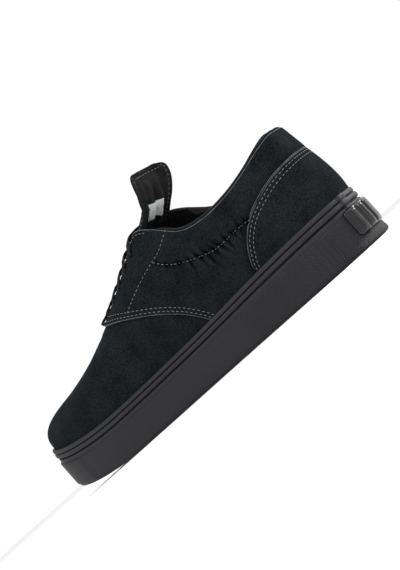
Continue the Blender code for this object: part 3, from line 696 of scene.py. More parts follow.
def rise_below_edge(side, turn, distance):
    """How far up its column a point lies that is a set way below the top edge."""
    rises = np.linspace(1, 0, 201)
    points = wall_points(side, turn, rises)
    return float(np.interp(distance, np.linalg.norm(points - points[0], axis=1), rises))


def dip(distance, width):
    return np.exp(-(distance / width) ** 2)


def relief(points, below_top):
    """How far the suede stands off its plain surface: padding, seam, puckers, rolled top; and, apart, the
    depth of seam and puckers, which the suede finish paints as shade in the hollows and as highlight on the
    ridges.
    """
    seam, along = from_line(SEAM_LINE, points)
    seam = -seam
    ends = smooth(along, 0.0, 0.04) * (1 - smooth(along, 0.97, 1.0))
    room = np.maximum(seam + below_top, 1e-6)
    share = np.clip(seam / room, 0, 1)
    heel = smooth(points[:, 1], along_y(0.02), along_y(0.13))
    puff = COLLAR_PUFF * np.sin(math.pi * share ** 0.7) * (0.45 + 0.55 * heel)
    puff = np.where(points[:, 1] < along_y(0.40), puff, 0)
    puff *= 1 - smooth(points[:, 1], along_y(0.33), along_y(0.40))
    shade = -SEAM_DIP * dip(seam, SEAM_DIP_WIDTH) * ends
    reach = lengths(SEAM_LINE)[-1]
    for place, depth, below, above, lean in PUCKERS:
        offset = (along - place) * reach - lean * seam
        fade = np.where(seam < 0, dip(seam, below), dip(seam, above))
        ridge = dip(offset - 2.2 * PUCKER_WIDTH, 1.3 * PUCKER_WIDTH)
        shade += fade * ends * PUCKER_GAIN * depth * (0.6 * ridge - dip(offset, PUCKER_WIDTH))
    roll = np.exp(-np.maximum(below_top, 0) / TOP_ROLL_WIDTH)
    return puff + shade - TOP_ROLL * roll, shade


def column_relief(side, turn, points, on_counter):
    """Relief of one column of the counter or of the quarters, and the depth of its seams, creases and stitch
    grooves, which is painted as shade on the suede.
    """
    top = wall_points(side, turn, 1.0)[0]
    below_top = np.linalg.norm(points - top, axis=1)
    gap = from_line(COUNTER_LINE, points)[0]
    if on_counter:
        rows = sum(dip(gap + distance, STITCH_DIP_WIDTH) for distance in (FIRST_ROW, SECOND_ROW))
        soft_edge = SOFT_EDGE * np.exp(-np.maximum(-gap, 0) / (2 * SOFT_EDGE))
        return -STITCH_DIP * rows - soft_edge, -STITCH_DIP * rows
    front = from_line(QUARTER_LINE, points)[0]
    rows = sum(dip(front + distance, STITCH_DIP_WIDTH) for distance in (FIRST_ROW, SECOND_ROW))
    rows = rows + dip(from_line(EYESTAY, points)[0], STITCH_DIP_WIDTH)
    groove = -STITCH_DIP * rows * (turn > FRONT_FROM)
    if turn < HEEL_UNTIL:
        groove = groove - COUNTER_DIP * np.exp(-np.maximum(gap, 0) / COUNTER_DIP_WIDTH)
    value, shade = relief(points, below_top)
    return np.maximum(value + groove, LEAST_RELIEF), shade + groove


def lifted(side, turn, rises, lift):
    """Points, normals and painted shade of an overlay's outer face, tucked in behind the foxing.

    The counter is the one overlay that is thicker than the quarters.
    """
    points, normals = wall_frame(side, turn, rises)
    gap = blend(TUCKED_GAP, OVERLAY_GAP, smooth(rises, 0.0, 0.16))
    height, shade = column_relief(side, turn, points, lift > OVERLAY_WALL)
    return points + normals * (gap + lift + height)[:, None], normals, shade / SHADE_DEPTH


# Mesh helpers
def mesh_of(name, points, faces, indexes=None):
    """Mesh from points and faces, with a material index for each face where given."""
    mesh = bpy.data.meshes.new(name)
    mesh.from_pydata([tuple(point) for point in points], [], faces)
    if indexes is not None:
        mesh.polygons.foreach_set("material_index", indexes)
    mesh.validate()
    return mesh


def grid_faces(columns, rows, closed_columns=False, closed_rows=False, start=0):
    faces = []
    for column in range(columns if closed_columns else columns - 1):
        following = (column + 1) % columns
        for row in range(rows if closed_rows else rows - 1):
            after = (row + 1) % rows
            faces.append((start + column * rows + row, start + following * rows + row,
                          start + following * rows + after, start + column * rows + after))
    return faces


def tube_faces(rings, corners):
    """Faces of a closed tube with flat ends."""
    faces = grid_faces(rings, corners, closed_rows=True)
    faces.append(tuple(range(corners)))
    faces.append(tuple(reversed(range((rings - 1) * corners, rings * corners))))
    return faces


def into_mesh(shape, mesh):
    shape.to_mesh(mesh)
    shape.free()
    return mesh


def merged(mesh, distance=MERGE):
    shape = bmesh.new()
    shape.from_mesh(mesh)
    bmesh.ops.remove_doubles(shape, verts=shape.verts, dist=distance)
    bmesh.ops.dissolve_degenerate(shape, edges=shape.edges, dist=distance / 2)
    return into_mesh(shape, mesh)


def face_out(mesh):
    shape = bmesh.new()
    shape.from_mesh(mesh)
    bmesh.ops.recalc_face_normals(shape, faces=shape.faces)
    return into_mesh(shape, mesh)


def write_values(mesh, name, values):
    """Store one number for each vertex."""
    mark = mesh.attributes.new(name, "FLOAT", "POINT")
    mark.data.foreach_set("value", values.astype(np.float32))


def smoothed(mesh, angle=40):
    mesh.shade_smooth()
    mesh.set_sharp_from_angle(angle=math.radians(angle))
    return mesh


def new_object(name, mesh, materials=()):
    made = bpy.data.objects.new(name, mesh)
    bpy.context.scene.collection.objects.link(made)
    for used in materials:
        made.data.materials.append(used)
    return made


def settle(item):
    """Replace an object's mesh by its evaluated one and drop its modifiers."""
    bpy.context.view_layer.update()
    graph = bpy.context.evaluated_depsgraph_get()
    done = bpy.data.meshes.new_from_object(item.evaluated_get(graph))
    item.modifiers.clear()
    item.data = done
    return item


def thicken(item, thickness, inner=0, rim=0):
    wall = item.modifiers.new("Wall", "SOLIDIFY")
    wall.thickness = thickness
    wall.offset = -1
    wall.use_even_offset = False
    wall.use_quality_normals = True
    wall.material_offset = inner
    wall.material_offset_rim = rim
    return settle(item)


def piece(item, slot, *nodes):
    """Hand a finished piece to the frame."""
    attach(item, "root")
    if nodes:
        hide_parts(*nodes)
    return item


def ring_order(count, last_turn=1.0):
    """Sides and turns of the columns: inner side to the heel, then outer side forward."""
    turns = [last_turn * index / count for index in range(count + 1)]
    return [(MEDIAL, turn) for turn in reversed(turns)] + [(LATERAL, turn) for turn in turns]


# Finishes
def add(tree, kind, inputs=None, **values):
    """Add a node, set its properties, and set or link its inputs by name or number."""
    node = tree.nodes.new(kind)
    for name, value in values.items():
        setattr(node, name, value)
    for name, value in (inputs or {}).items():
        if isinstance(value, bpy.types.NodeSocket):
            tree.links.new(value, node.inputs[name])
        else:
            node.inputs[name].default_value = value
    return node


def math_node(tree, operation, *values):
    return add(tree, "ShaderNodeMath", dict(enumerate(values)), operation=operation).outputs[0]


def soft_range(tree, value, **limits):
    """Smooth ramp of a value between limits."""
    inputs = {name.replace("_", " "): limit for name, limit in limits.items()}
    inputs["Value"] = value
    return add(tree, "ShaderNodeMapRange", inputs, interpolation_type="SMOOTHSTEP").outputs[0]


def map_parts(tree):
    """The two ways of the piece's own map, in metres."""
    place = add(tree, "ShaderNodeUVMap", uv_map="surface")
    return add(tree, "ShaderNodeSeparateXYZ", {0: place.outputs[0]}).outputs


def group_sockets(tree, numbers, results):
    """Give a shader group its sockets; what comes back are the numbers that it is given."""
    for name, default in numbers.items():
        made = tree.interface.new_socket(name, in_out="INPUT", socket_type="NodeSocketFloat")
        made.default_value = default
    for name in results:
        tree.interface.new_socket(name, in_out="OUTPUT", socket_type="NodeSocketFloat")
    return add(tree, "NodeGroupInput").outputs


def fill_grain(tree):
    """Fine grain or nap: a mask for colour and a height for bump."""
    given = group_sockets(tree, {"Size": 0.0006, "Patch Size": 0.02, "Patchiness": 0.3}, ("Mask", "Height"))
    place = add(tree, "ShaderNodeTexCoord").outputs["Object"]
    noises = []
    for size, detail, roughness in (("Size", 3.0, 0.65), ("Patch Size", 4.0, 0.55)):
        scale = math_node(tree, "DIVIDE", 1.0, given[size])
        noise = add(tree, "ShaderNodeTexNoise", {"Vector": place, "Scale": scale, "Detail": detail,
                                                 "Roughness": roughness})
        noises.append(noise.outputs[0])
    patch = math_node(tree, "MULTIPLY", math_node(tree, "SUBTRACT", noises[1], 0.5), given["Patchiness"])
    add(tree, "NodeGroupOutput", {"Mask": math_node(tree, "ADD", noises[0], patch), "Height": noises[0]})


def fill_hatch(tree):
    """Two crossed sets of fine lines on the strip's own map, fading towards the toe."""
    given = group_sockets(tree, {"Pitch": 0.001, "Fade Start": 0.07, "Fade End": 0.14}, ("Height",))
    along, height = map_parts(tree)[:2]
    waves = []
    for operation in ("ADD", "SUBTRACT"):
        diagonal = math_node(tree, operation, along, height)
        turns = math_node(tree, "DIVIDE", math_node(tree, "MULTIPLY", diagonal, 2 * math.pi), given["Pitch"])
        waves.append(math_node(tree, "SINE", turns))
    both = math_node(tree, "MAXIMUM", *waves)
    fade = soft_range(tree, math_node(tree, "ABSOLUTE", along), From_Min=given["Fade Start"],
                      From_Max=given["Fade End"], To_Min=1.0, To_Max=0.0)
    band = soft_range(tree, height, From_Min=HATCH_FULL * FOXING_HEIGHT, From_Max=HATCH_TOP * FOXING_HEIGHT,
                      To_Min=1.0, To_Max=0.0)
    mask = math_node(tree, "MULTIPLY", fade, band)
    add(tree, "NodeGroupOutput", {"Height": math_node(tree, "MULTIPLY", both, mask)})


def fill_weave(tree):
    """Plain weave on the piece's own map: a mask between the threads and a height."""
    given = group_sockets(tree, {"Pitch": 0.0008, "Lean": 0.0}, ("Mask", "Height"))
    across, along = map_parts(tree)[:2]
    leaning = math_node(tree, "ADD", across, math_node(tree, "MULTIPLY", along, given["Lean"]))
    waves = []
    for value in (leaning, along):
        turns = math_node(tree, "DIVIDE", math_node(tree, "MULTIPLY", value, math.pi), given["Pitch"])
        waves.append(math_node(tree, "SINE", turns))
    height = math_node(tree, "ABSOLUTE", math_node(tree, "MULTIPLY", *waves))
    add(tree, "NodeGroupOutput", {"Mask": math_node(tree, "POWER", height, 0.5), "Height": height})


def group_node(tree, name, maker, **inputs):
    """Outputs of a shared shader group, which is made the first time it is asked for."""
    group = bpy.data.node_groups.get(name)
    if group is None:
        group = bpy.data.node_groups.new(name, "ShaderNodeTree")
        maker(group)
    inputs = {socket.replace("_", " "): value for socket, value in inputs.items()}
    return add(tree, "ShaderNodeGroup", inputs, node_tree=group).outputs


def nap(tree, size, patch_size, patchiness):
    return group_node(tree, "Nap", fill_grain, Size=size, Patch_Size=patch_size, Patchiness=patchiness)


def new_finish(name, roughness, **constants):
    """Material with a Principled shader whose plain sockets take constants."""
    made = bpy.data.materials.new(name)
    made.use_nodes = True
    shader = made.node_tree.nodes["Principled BSDF"]
    shader.inputs["Roughness"].default_value = roughness
    for socket, value in constants.items():
        shader.inputs[socket.replace("_", " ")].default_value = value
    return made, made.node_tree, shader


def colour_ramp(tree, value, stops):
    ramp = add(tree, "ShaderNodeValToRGB", {0: value})
    elements = ramp.color_ramp.elements
    for index, (place, colour) in enumerate(stops):
        stop = elements[index] if index < 2 else elements.new(place)
        stop.position = place
        stop.color = (*colour, 1)
    return ramp.outputs[0]


def mixed(tree, mask, colour, low, high, start=0.3, end=0.7):
    """A colour between a darker and a lighter share of itself, by a mask."""
    return colour_ramp(tree, mask, ((start, scaled(colour, low)), (end, scaled(colour, high))))


def scaled(colour, factor):
    return tuple(min(channel * factor, 1) for channel in colour)


def feed(shader, name, socket):
    shader.id_data.links.new(socket, shader.inputs[name])


def add_bump(shader, height, distance, strength=1.0, under=None):
    """Bump of a height, over another bump where given."""
    inputs = {"Height": height, "Distance": distance, "Strength": strength}
    if under is not None:
        inputs["Normal"] = under
    bump = add(shader.id_data, "ShaderNodeBump", inputs).outputs[0]
    feed(shader, "Normal", bump)
    return bump


def make_suede(name, colour):
    made, tree, shader = new_finish(name, 0.93, Sheen_Weight=0.012, Sheen_Roughness=0.5,
                                    Sheen_Tint=(0.55, 0.66, 0.74, 1), Specular_IOR_Level=0.02)
    grain = nap(tree, 0.00075, 0.019, 0.36)
    tone = mixed(tree, grain["Mask"], colour, 0.4, 2.6, 0.36, 0.70)
    # painted shade and highlight: the stored relief darkens the colour in seams, creases and stitch grooves
    # and lightens it on pucker ridges
    shade = add(tree, "ShaderNodeAttribute", attribute_name="shade").outputs["Fac"]
    painted_shade_gain = add(tree, "ShaderNodeMapRange", {"Value": shade, "From Min": -1.0, "To Min": 0.08, "To Max": 1.92})
    shaded_colour = add(tree, "ShaderNodeVectorMath", {0: tone, "Scale": painted_shade_gain.outputs[0]}, operation="SCALE")
    feed(shader, "Base Color", shaded_colour.outputs[0])
    add_bump(shader, grain["Height"], 0.0006, 0.9)
    return made


def make_cut_edge(name, colour):
    made, tree, shader = new_finish(name, 0.9, Sheen_Weight=0.05, Specular_IOR_Level=0.1)
    grain = nap(tree, 0.0005, 0.006, 0.9)
    feed(shader, "Base Color", mixed(tree, grain["Mask"], colour, 0.45, 1.5))
    add_bump(shader, grain["Height"], 0.0003)
    return made


def make_wall_rubber(name, colour):
    made, tree, shader = new_finish(name, 0.56, Specular_IOR_Level=0.22)
    grain = nap(tree, 0.0009, 0.035, 0.8)
    tone = mixed(tree, grain["Mask"], colour, 0.86, 1.16)
    height = math_node(tree, "DIVIDE", map_parts(tree)[1], FOXING_HEIGHT)
    # painted shade: darker at the foot and top edge of the wall, in its grooves and its deep line, and
    # lighter towards the top
    bands = colour_ramp(tree, height, [(share, (level, level, level)) for share, level in WALL_SHADE_LEVELS])
    shaded_colour = add(tree, "ShaderNodeVectorMath", {0: tone, 1: bands}, operation="MULTIPLY")
    feed(shader, "Base Color", shaded_colour.outputs[0])
    hatch = group_node(tree, "Cross hatch", fill_hatch, Pitch=0.0016, Fade_Start=0.085, Fade_End=0.16)
    fine = add_bump(shader, grain["Height"], 0.00006, 0.6)
    add_bump(shader, hatch["Height"], 0.0002, 0.9, fine)
    rough = add(tree, "ShaderNodeMapRange", {"Value": grain["Mask"], "To Min": 0.50, "To Max": 0.64})
    feed(shader, "Roughness", rough.outputs[0])
    return made


def make_gloss_rubber(name, colour, painted_sheen_colour):
    made, tree, shader = new_finish(name, 0.24, Coat_Weight=0.25, Coat_Roughness=0.10,
                                    Specular_IOR_Level=0.22)
    # painted reflection: the base colour turns brown towards the outer end of the tab
    outer = soft_range(tree, map_parts(tree)[0], From_Min=0.006, From_Max=0.016)
    feed(shader, "Base Color", colour_ramp(tree, outer, ((0.0, colour), (1.0, painted_sheen_colour))))
    grain = nap(tree, 0.004, 0.009, 1.2)
    rough = add(tree, "ShaderNodeMapRange", {"Value": grain["Mask"], "From Min": 0.2, "From Max": 0.8,
                                             "To Min": 0.16, "To Max": 0.36})
    feed(shader, "Roughness", rough.outputs[0])
    add_bump(shader, grain["Height"], 0.00025, 0.35)
    return made


def make_gum(name, colour, pocket_shade_and_dirt_colour):
    made, tree, shader = new_finish(name, 0.6, Specular_IOR_Level=0.4)
    # the pocket floors take a darker, browner colour by their depth: painted shade, and dirt
    depth = add(tree, "ShaderNodeAttribute", attribute_name="pocket").outputs["Fac"]
    grain = nap(tree, 0.0012, 0.012, 1.0)
    ribs = mixed(tree, grain["Mask"], colour, 0.85, 1.15)
    floors = mixed(tree, grain["Mask"], pocket_shade_and_dirt_colour, 0.75, 1.3)
    both = add(tree, "ShaderNodeMix", {"Factor": depth, 6: ribs, 7: floors}, data_type="RGBA")
    feed(shader, "Base Color", both.outputs[2])
    add_bump(shader, grain["Height"], 0.00008, 0.7)
    return made


def make_woven(name, colour, pitch, spread=2.2, lean=0.0, roughness=0.9, depth=0.00025):
    made, tree, shader = new_finish(name, roughness, Sheen_Weight=0.015, Sheen_Roughness=0.4,
                                    Specular_IOR_Level=0.05)
    weave = group_node(tree, "Weave", fill_weave, Pitch=pitch, Lean=lean)
    feed(shader, "Base Color", mixed(tree, weave["Mask"], colour, 0.45, spread, 0.1, 0.9))
    fuzz = add_bump(shader, nap(tree, 0.0005, 0.01, 0.5)["Height"], 0.0001, 0.5)
    add_bump(shader, weave["Height"], depth, 1.0, fuzz)
    return made


def make_plain(name, colour, roughness):
    made, tree, shader = new_finish(name, roughness, Specular_IOR_Level=0.3)
    grain = nap(tree, 0.0004, 0.01, 0.6)
    feed(shader, "Base Color", mixed(tree, grain["Mask"], colour, 0.8, 1.2))
    add_bump(shader, grain["Height"], 0.00008, 0.5)
    return made


# name of each finish: how it is made, its colours in the panel, and its own values
FINISHES = {
    "black_suede": (make_suede, ("suede",), ()),
    "suede_cut_edge": (make_cut_edge, ("cut_edge",), ()),
    "wall_rubber": (make_wall_rubber, ("wall",), ()),
    "gloss_black_rubber": (make_gloss_rubber, ("gloss", "gloss_painted_sheen"), ()),
    "gum": (make_gum, ("gum", "gum_pocket_shade_and_dirt"), ()),
    "lining": (make_woven, ("lining",), (0.0007,)),
    "footbed_cloth": (make_woven, ("lining",), (0.0013,)),
    "flat_lace": (make_woven, ("lace",), (0.0007, 2.8, 1.0)),
    "thread": (make_plain, ("thread",), (0.55,)),
    "needle_hole": (make_plain, ("needle_hole",), (0.95,)),
    "label": (make_woven, ("label",), (0.0005, 1.05, 0.0, 0.7, 0.00005)),
}


def finish(name):
    """The named finish, made with the panel's colours the first time it is used."""
    made = bpy.data.materials.get(name)
    if made is not None:
        return made
    maker, colours, values = FINISHES[name]
    return maker(name, *(getattr(bpy.context.scene.shoe_colours, colour) for colour in colours), *values)


# Sole
def wall_outset(outsets, shares, side, turn, way):
    """Outset of the wall with its toe strip, its heel flange and the overlap at the heel."""
    high = (outsets >= 0) & (shares > BUMPER_LOW) & (shares < BUMPER_HIGH)
    toe = smooth(turn, BUMPER_START, BUMPER_START + BUMPER_RAMP)
    outsets = outsets + np.where(high, BUMPER_DEPTH * toe, 0)
    flange = (1 - smooth(shares, 0.06, 0.24)) * (1 - smooth(turn, 0.10, 0.30)) * smooth(shares, 0.0, 0.04)
    outsets = outsets + 0.0007 * flange
    if side == MEDIAL:
        strip = smooth(way, OVERLAP_START, OVERLAP_START + OVERLAP_EDGE)
        strip *= 1 - smooth(way, OVERLAP_END - OVERLAP_EDGE, OVERLAP_END)
        outsets = outsets * (1 - OVERLAP_FADE * strip) + OVERLAP_DEPTH * strip
    return outsets


def swept(name, columns, materials):
    """Closed solid from rings of points round the sole; the profile's ends are capped."""
    rows = len(columns[0])
    faces = grid_faces(len(columns), rows, closed_columns=True)
    count = len(columns)
    half = count // 2
    for row, flip in ((0, False), (rows - 1, True)):
        for step in range(half - 1):
            low, high = count - 1 - step, step
            corners = [low * rows + row, (low - 1) * rows + row, (high + 1) * rows + row,
                       high * rows + row]
            faces.append(tuple(reversed(corners)) if flip else tuple(corners))
    points = np.concatenate(columns)
    mesh = face_out(merged(mesh_of(name, points, faces)))
    return new_object(name, smoothed(mesh, 32), materials)


def sole_columns(profile):
    """Columns all the way round the sole from a function of side, turn and way."""
    turns = [index / RING_COLUMNS for index in range(RING_COLUMNS + 1)]
    order = [(LATERAL, turn) for turn in turns] + [(MEDIAL, turn) for turn in reversed(turns)]
    return [profile(side, turn, turn * SIDES[side][1][-1]) for side, turn in order]


def write_map(item, values):
    """Store a map in metres, one (u, v) for each vertex, in the piece's own UV layer."""
    layer = item.data.uv_layers.new(name="surface")
    corners = np.zeros(len(item.data.loops), np.int32)
    item.data.loops.foreach_get("vertex_index", corners)
    layer.data.foreach_set("uv", np.asarray(values, np.float32)[corners].ravel())


def vertex_array(item):
    points = np.zeros(len(item.data.vertices) * 3)
    item.data.vertices.foreach_get("co", points)
    return points.reshape(-1, 3)


def edge_way(points):
    """Signed distance along the sole edge from the heel, for the nearest edge point."""
    best = np.full(len(points), 1e9)
    way = np.zeros(len(points))
    for side in (LATERAL, MEDIAL):
        line, reach, _ = SIDES[side]
        gaps = np.linalg.norm(points[:, None, :2] - line[None], axis=2)
        index = gaps.argmin(1)
        gap = gaps[np.arange(len(points)), index]
        nearer = gap < best
        best[nearer] = gap[nearer]
        way[nearer] = side * reach[index[nearer]]
    return way


def unbent_heights(points):
    along = (points[:, 1] + HEEL_SEAT) / LENGTH
    thin = np.interp(along, THIN_KEYS, THIN_VALUES)
    past = np.maximum(along - SPRING_START, 0) / (1 - SPRING_START)
    return (points[:, 2] - TOE_SPRING * past * past) / thin


def build_side_wall():
    recess = WALL_LAP - FOXING_WALL - CLEARANCE
    table = np.array(WALL_PROFILE)

    def profile(side, turn, way):
        outsets = wall_outset(table[:, 0], table[:, 1], side, turn, way)
        outsets = np.concatenate([[recess, recess], outsets, [-FOXING_WALL, -FOXING_WALL]])
        heights = np.concatenate([[GUM_THICKNESS + CLEARANCE, WALL_FOOT], table[:, 1] * FOXING_HEIGHT,
                                  [FOXING_HEIGHT, PLATFORM_HEIGHT]])
        return ring_points(side, turn, outsets, heights)

    made = swept("side_wall", sole_columns(profile), [finish("wall_rubber")])
    points = vertex_array(made)
    write_map(made, np.stack([edge_way(points), unbent_heights(points)], axis=1))
    return piece(made, "black_rubber", "midsole")


def build_heel_tab():
    """Moulded plate with soft upright waves and rounded borders."""
    across, rows = 160, 26
    columns = []
    maps = []
    for index in range(across + 1):
        way = (index / across - 0.5) * TAB_WIDTH
        side = LATERAL if way > 0 else MEDIAL
        turn = abs(way) / SIDES[side][1][-1]
        wave = table_at(TAB_RELIEF, way)[0]
        strip = smooth(-way, OVERLAP_START, OVERLAP_START + 3 * OVERLAP_EDGE)
        strip *= 1 - smooth(-way, OVERLAP_END - 3 * OVERLAP_EDGE, OVERLAP_END)
        inside = TAB_WIDTH / 2 - abs(way)
        cut_corner = TAB_CORNER * (1 - math.sqrt(1 - max(1 - inside / TAB_CORNER, 0) ** 2))
        low = TAB_BOTTOM + cut_corner
        high = TAB_BOTTOM + TAB_HEIGHT - cut_corner
        heights = np.linspace(low, high, rows + 1)
        margin = np.minimum(np.minimum(heights - low, high - heights), inside)
        edge_round = np.sqrt(np.clip(1 - (1 - np.clip(margin / TAB_EDGE, 0, 1)) ** 2, 0, 1))
        outset = CLEARANCE + TAB_WALL * blend(EDGE_SHARE, 1, edge_round) + wave * smooth(margin, 0, TAB_FADE)
        outset = outset + OVERLAP_DEPTH * strip
        columns.append(ring_points(side, turn, outset, heights))
        maps.append(np.stack([np.full(rows + 1, way), heights], axis=1))
    mesh = mesh_of("heel_plate", np.concatenate(columns), grid_faces(across + 1, rows + 1))
    made = new_object("heel_plate", smoothed(mesh, 60), [finish("gloss_black_rubber")])
    write_map(made, np.concatenate(maps))
    thicken(made, TAB_WALL * 0.8)
    return piece(made, "gloss_rubber", "heel_tab")


def turned(vector, angle):
    return np.array((vector[0] * math.cos(angle) - vector[1] * math.sin(angle),
                     vector[0] * math.sin(angle) + vector[1] * math.cos(angle)))


def cross(first, second):
    return first[0] * second[1] - first[1] * second[0]


def clipped(polygon, corners):
    """Part of a polygon that lies in a convex cell whose corners run anticlockwise."""
    for index, corner in enumerate(corners):
        way = corners[(index + 1) % len(corners)] - corner
        kept = []
        for number, point in enumerate(polygon):
            after = polygon[(number + 1) % len(polygon)]
            here = cross(way, point - corner)
            there = cross(way, after - corner)
            if here >= 0:
                kept.append(point)
            if (here >= 0) != (there >= 0):
                kept.append(point + (after - point) * (here / (here - there)))
        polygon = kept
        if not polygon:
            return []
    return polygon


def area(polygon):
    return abs(sum(cross(point, polygon[(index + 1) % len(polygon)])
                   for index, point in enumerate(polygon))) / 2


GUM_OUTSET = WALL_LAP - FOXING_WALL - 2 * CLEARANCE


def pocket_cells():
    """Outlines of the tread pockets, cut off at the rim."""
    first = turned(np.array((math.cos(TREAD_ANGLE), math.sin(TREAD_ANGLE))), TREAD_TURN) * TREAD_PITCH
    second = turned(np.array((math.cos(TREAD_ANGLE), -math.sin(TREAD_ANGLE))), TREAD_TURN) * TREAD_PITCH
    skew = abs(cross(first, second)) / TREAD_PITCH ** 2
    first_share = (1 - WIDE_RIB / (TREAD_PITCH * skew)) / 2
    second_share = (1 - NARROW_RIB / (TREAD_PITCH * skew)) / 2
    turns = [index / 60 for index in range(61)]
    inset = GUM_OUTSET - RIM_WIDTH
    rim = [flat_ring(LATERAL, turn, inset, 0)[0][:2] for turn in turns]
    rim += [flat_ring(MEDIAL, turn, inset, 0)[0][:2] for turn in reversed(turns[1:-1])]
    count = math.ceil(LENGTH / TREAD_PITCH)
    cells = []
    for i in range(-count, count + 1):
        for j in range(-count, count + 1):
            middle = first * (i + 0.5) + second * (j + 0.5)
            a, b = first * first_share, second * second_share
            cell = [middle - a - b, middle - a + b, middle + a + b, middle + a - b]
            if cross(cell[1] - cell[0], cell[2] - cell[1]) < 0:
                cell.reverse()
            kept = clipped(rim, cell)
            if len(kept) > 2 and area(kept) > LEAST_POCKET * area(cell):
                cells.append(kept)
    return cells


def tread_cutter():
    """One cutter with a tapered pocket, soft at its floor, for each cell of the tread."""
    shape = bmesh.new()
    # share of the taper, share of the depth
    steps = ((0.0, -CUT_BELOW / POCKET_DEPTH), (0.0, 0.02), (0.80, 0.86), (0.93, 0.97), (1.12, 1.0))
    for cell in pocket_cells():
        outline = [point for index, point in enumerate(cell)
                   if np.linalg.norm(point - cell[index - 1]) > LEAST_SIDE]
        middle = sum(outline) / len(outline)
        rings = []
        for taper, depth in steps:
            shrink = blend(1.0, POCKET_TAPER, taper)
            rings.append([shape.verts.new((*(middle + (point - middle) * shrink), depth * POCKET_DEPTH))
                          for point in outline])
        shape.faces.new(rings[0])
        shape.faces.new(list(reversed(rings[-1])))
        for low, high in zip(rings, rings[1:]):
            for index in range(len(low)):
                after = (index + 1) % len(low)
                shape.faces.new([low[index], high[index], high[after], low[after]])
    bmesh.ops.recalc_face_normals(shape, faces=shape.faces)
    return new_object("tread_cutter", into_mesh(shape, bpy.data.meshes.new("tread_cutter")))


def boolean(item, cutter):
    step = item.modifiers.new("Cut", "BOOLEAN")
    step.operation = "DIFFERENCE"
    step.solver = "EXACT"
    step.object = cutter
    settle(item)
    bpy.data.objects.remove(cutter)
    return item


def build_gum_sole():
    outsets = GUM_OUTSET - GUM_EDGE_BEVEL * np.array((1.0, 0.45, 0.12, 0.0, 0.0))
    heights = np.array((0.0, 0.12 * GUM_EDGE_BEVEL, 0.5 * GUM_EDGE_BEVEL, GUM_EDGE_BEVEL, GUM_THICKNESS))

    def profile(side, turn, way):
        return flat_ring(side, turn, outsets, heights)

    made = swept("gum_sole", sole_columns(profile), [finish("gum")])
    boolean(made, tread_cutter())
    points = vertex_array(made)
    inner = from_rim(points)
    # depth in the pockets, which the gum finish darkens as painted shade and dirt
    depth = np.clip(points[:, 2] / POCKET_DEPTH, 0, 1) * inner
    made.data.vertices.foreach_set("co", bent(points).ravel())
    write_values(made.data, "pocket", depth)
    smoothed(made.data, 30)
    return piece(made, "gum_rubber", "outsole")


def from_rim(points):
    """1 inside the rim of the tread and 0 on the outer edge of the gum."""
    edge_points = np.concatenate([SIDES[LATERAL][0], SIDES[MEDIAL][0]])
    gaps = np.linalg.norm(points[:, None, :2] - edge_points[None], axis=2).min(1)
    return smooth(gaps, -GUM_OUTSET + 0.5 * RIM_WIDTH, -GUM_OUTSET + 0.9 * RIM_WIDTH)


def build_footbed():
    low = PLATFORM_HEIGHT + CLEARANCE
    high = low + INSOLE_THICKNESS
    outer = UPPER_INSET - UPPER_WALL - 2 * CLEARANCE
    round_edge = 0.0010
    outsets = outer - round_edge * np.array((0.0, 0.0, 0.3, 1.0, 2.5))
    heights = np.array((low, high - round_edge, high - 0.3 * round_edge, high, high))

    def profile(side, turn, way):
        return ring_points(side, turn, outsets, heights)

    made = swept("footbed", sole_columns(profile), [finish("footbed_cloth")])
    write_map(made, vertex_array(made)[:, :2])
    return piece(made, "lining_cloth", "insole")


# Upper
def eyelet_turns():
    first = THROAT_TOP + EYELET_END_SHARE
    last = THROAT_BASE - EYELET_END_SHARE
    return [blend(first, last, pair / (EYELET_PAIRS - 1)) for pair in range(EYELET_PAIRS)]


def eyelet_cutter():
    shape = bmesh.new()
    for turn in eyelet_turns():
        for side in (LATERAL, MEDIAL):
            rise = rise_below_edge(side, turn, EYELET_INSET)
            place, normal = wall_frame(side, turn, rise)
            turned_to = Vector(normal[0]).to_track_quat("Z", "Y").to_matrix().to_4x4()
            turned_to.translation = Vector(place[0])
            bmesh.ops.create_cone(shape, cap_ends=True, segments=24, radius1=EYELET_HOLE / 2,
                                  radius2=EYELET_HOLE / 2, depth=CUT_REACH, matrix=turned_to)
    return new_object("eyelet_cutter", into_mesh(shape, bpy.data.meshes.new("eyelet_cutter")))


def build_upper_shell():
    """The one hollow wall: suede outside, lining inside."""
    rises = np.linspace(0, 1, UPPER_ROWS + 1)
    columns = []
    for side, turn in ring_order(RING_COLUMNS)[:-1]:
        points = wall_points(side, turn, rises)
        below = ring_points(side, turn, (UPPER_INSET, UPPER_INSET),
                            np.array((PLATFORM_HEIGHT + CLEARANCE, FOXING_HEIGHT - FOOT_DROP)))
        columns.append(np.concatenate([below, points]))
    rows = len(columns[0])
    mesh = mesh_of("upper_shell", np.concatenate(columns), grid_faces(len(columns), rows, True))
    made = new_object("upper_shell", merged(mesh, PANEL_MERGE), [finish("black_suede"), finish("lining")])
    thicken(made, UPPER_WALL, 1, 0)
    boolean(made, eyelet_cutter())
    smoothed(made.data, 45)
    points = vertex_array(made)
    write_map(made, np.stack([points[:, 1], points[:, 2] + np.abs(points[:, 0])], axis=1))
    return piece(made, "suede", "upper")


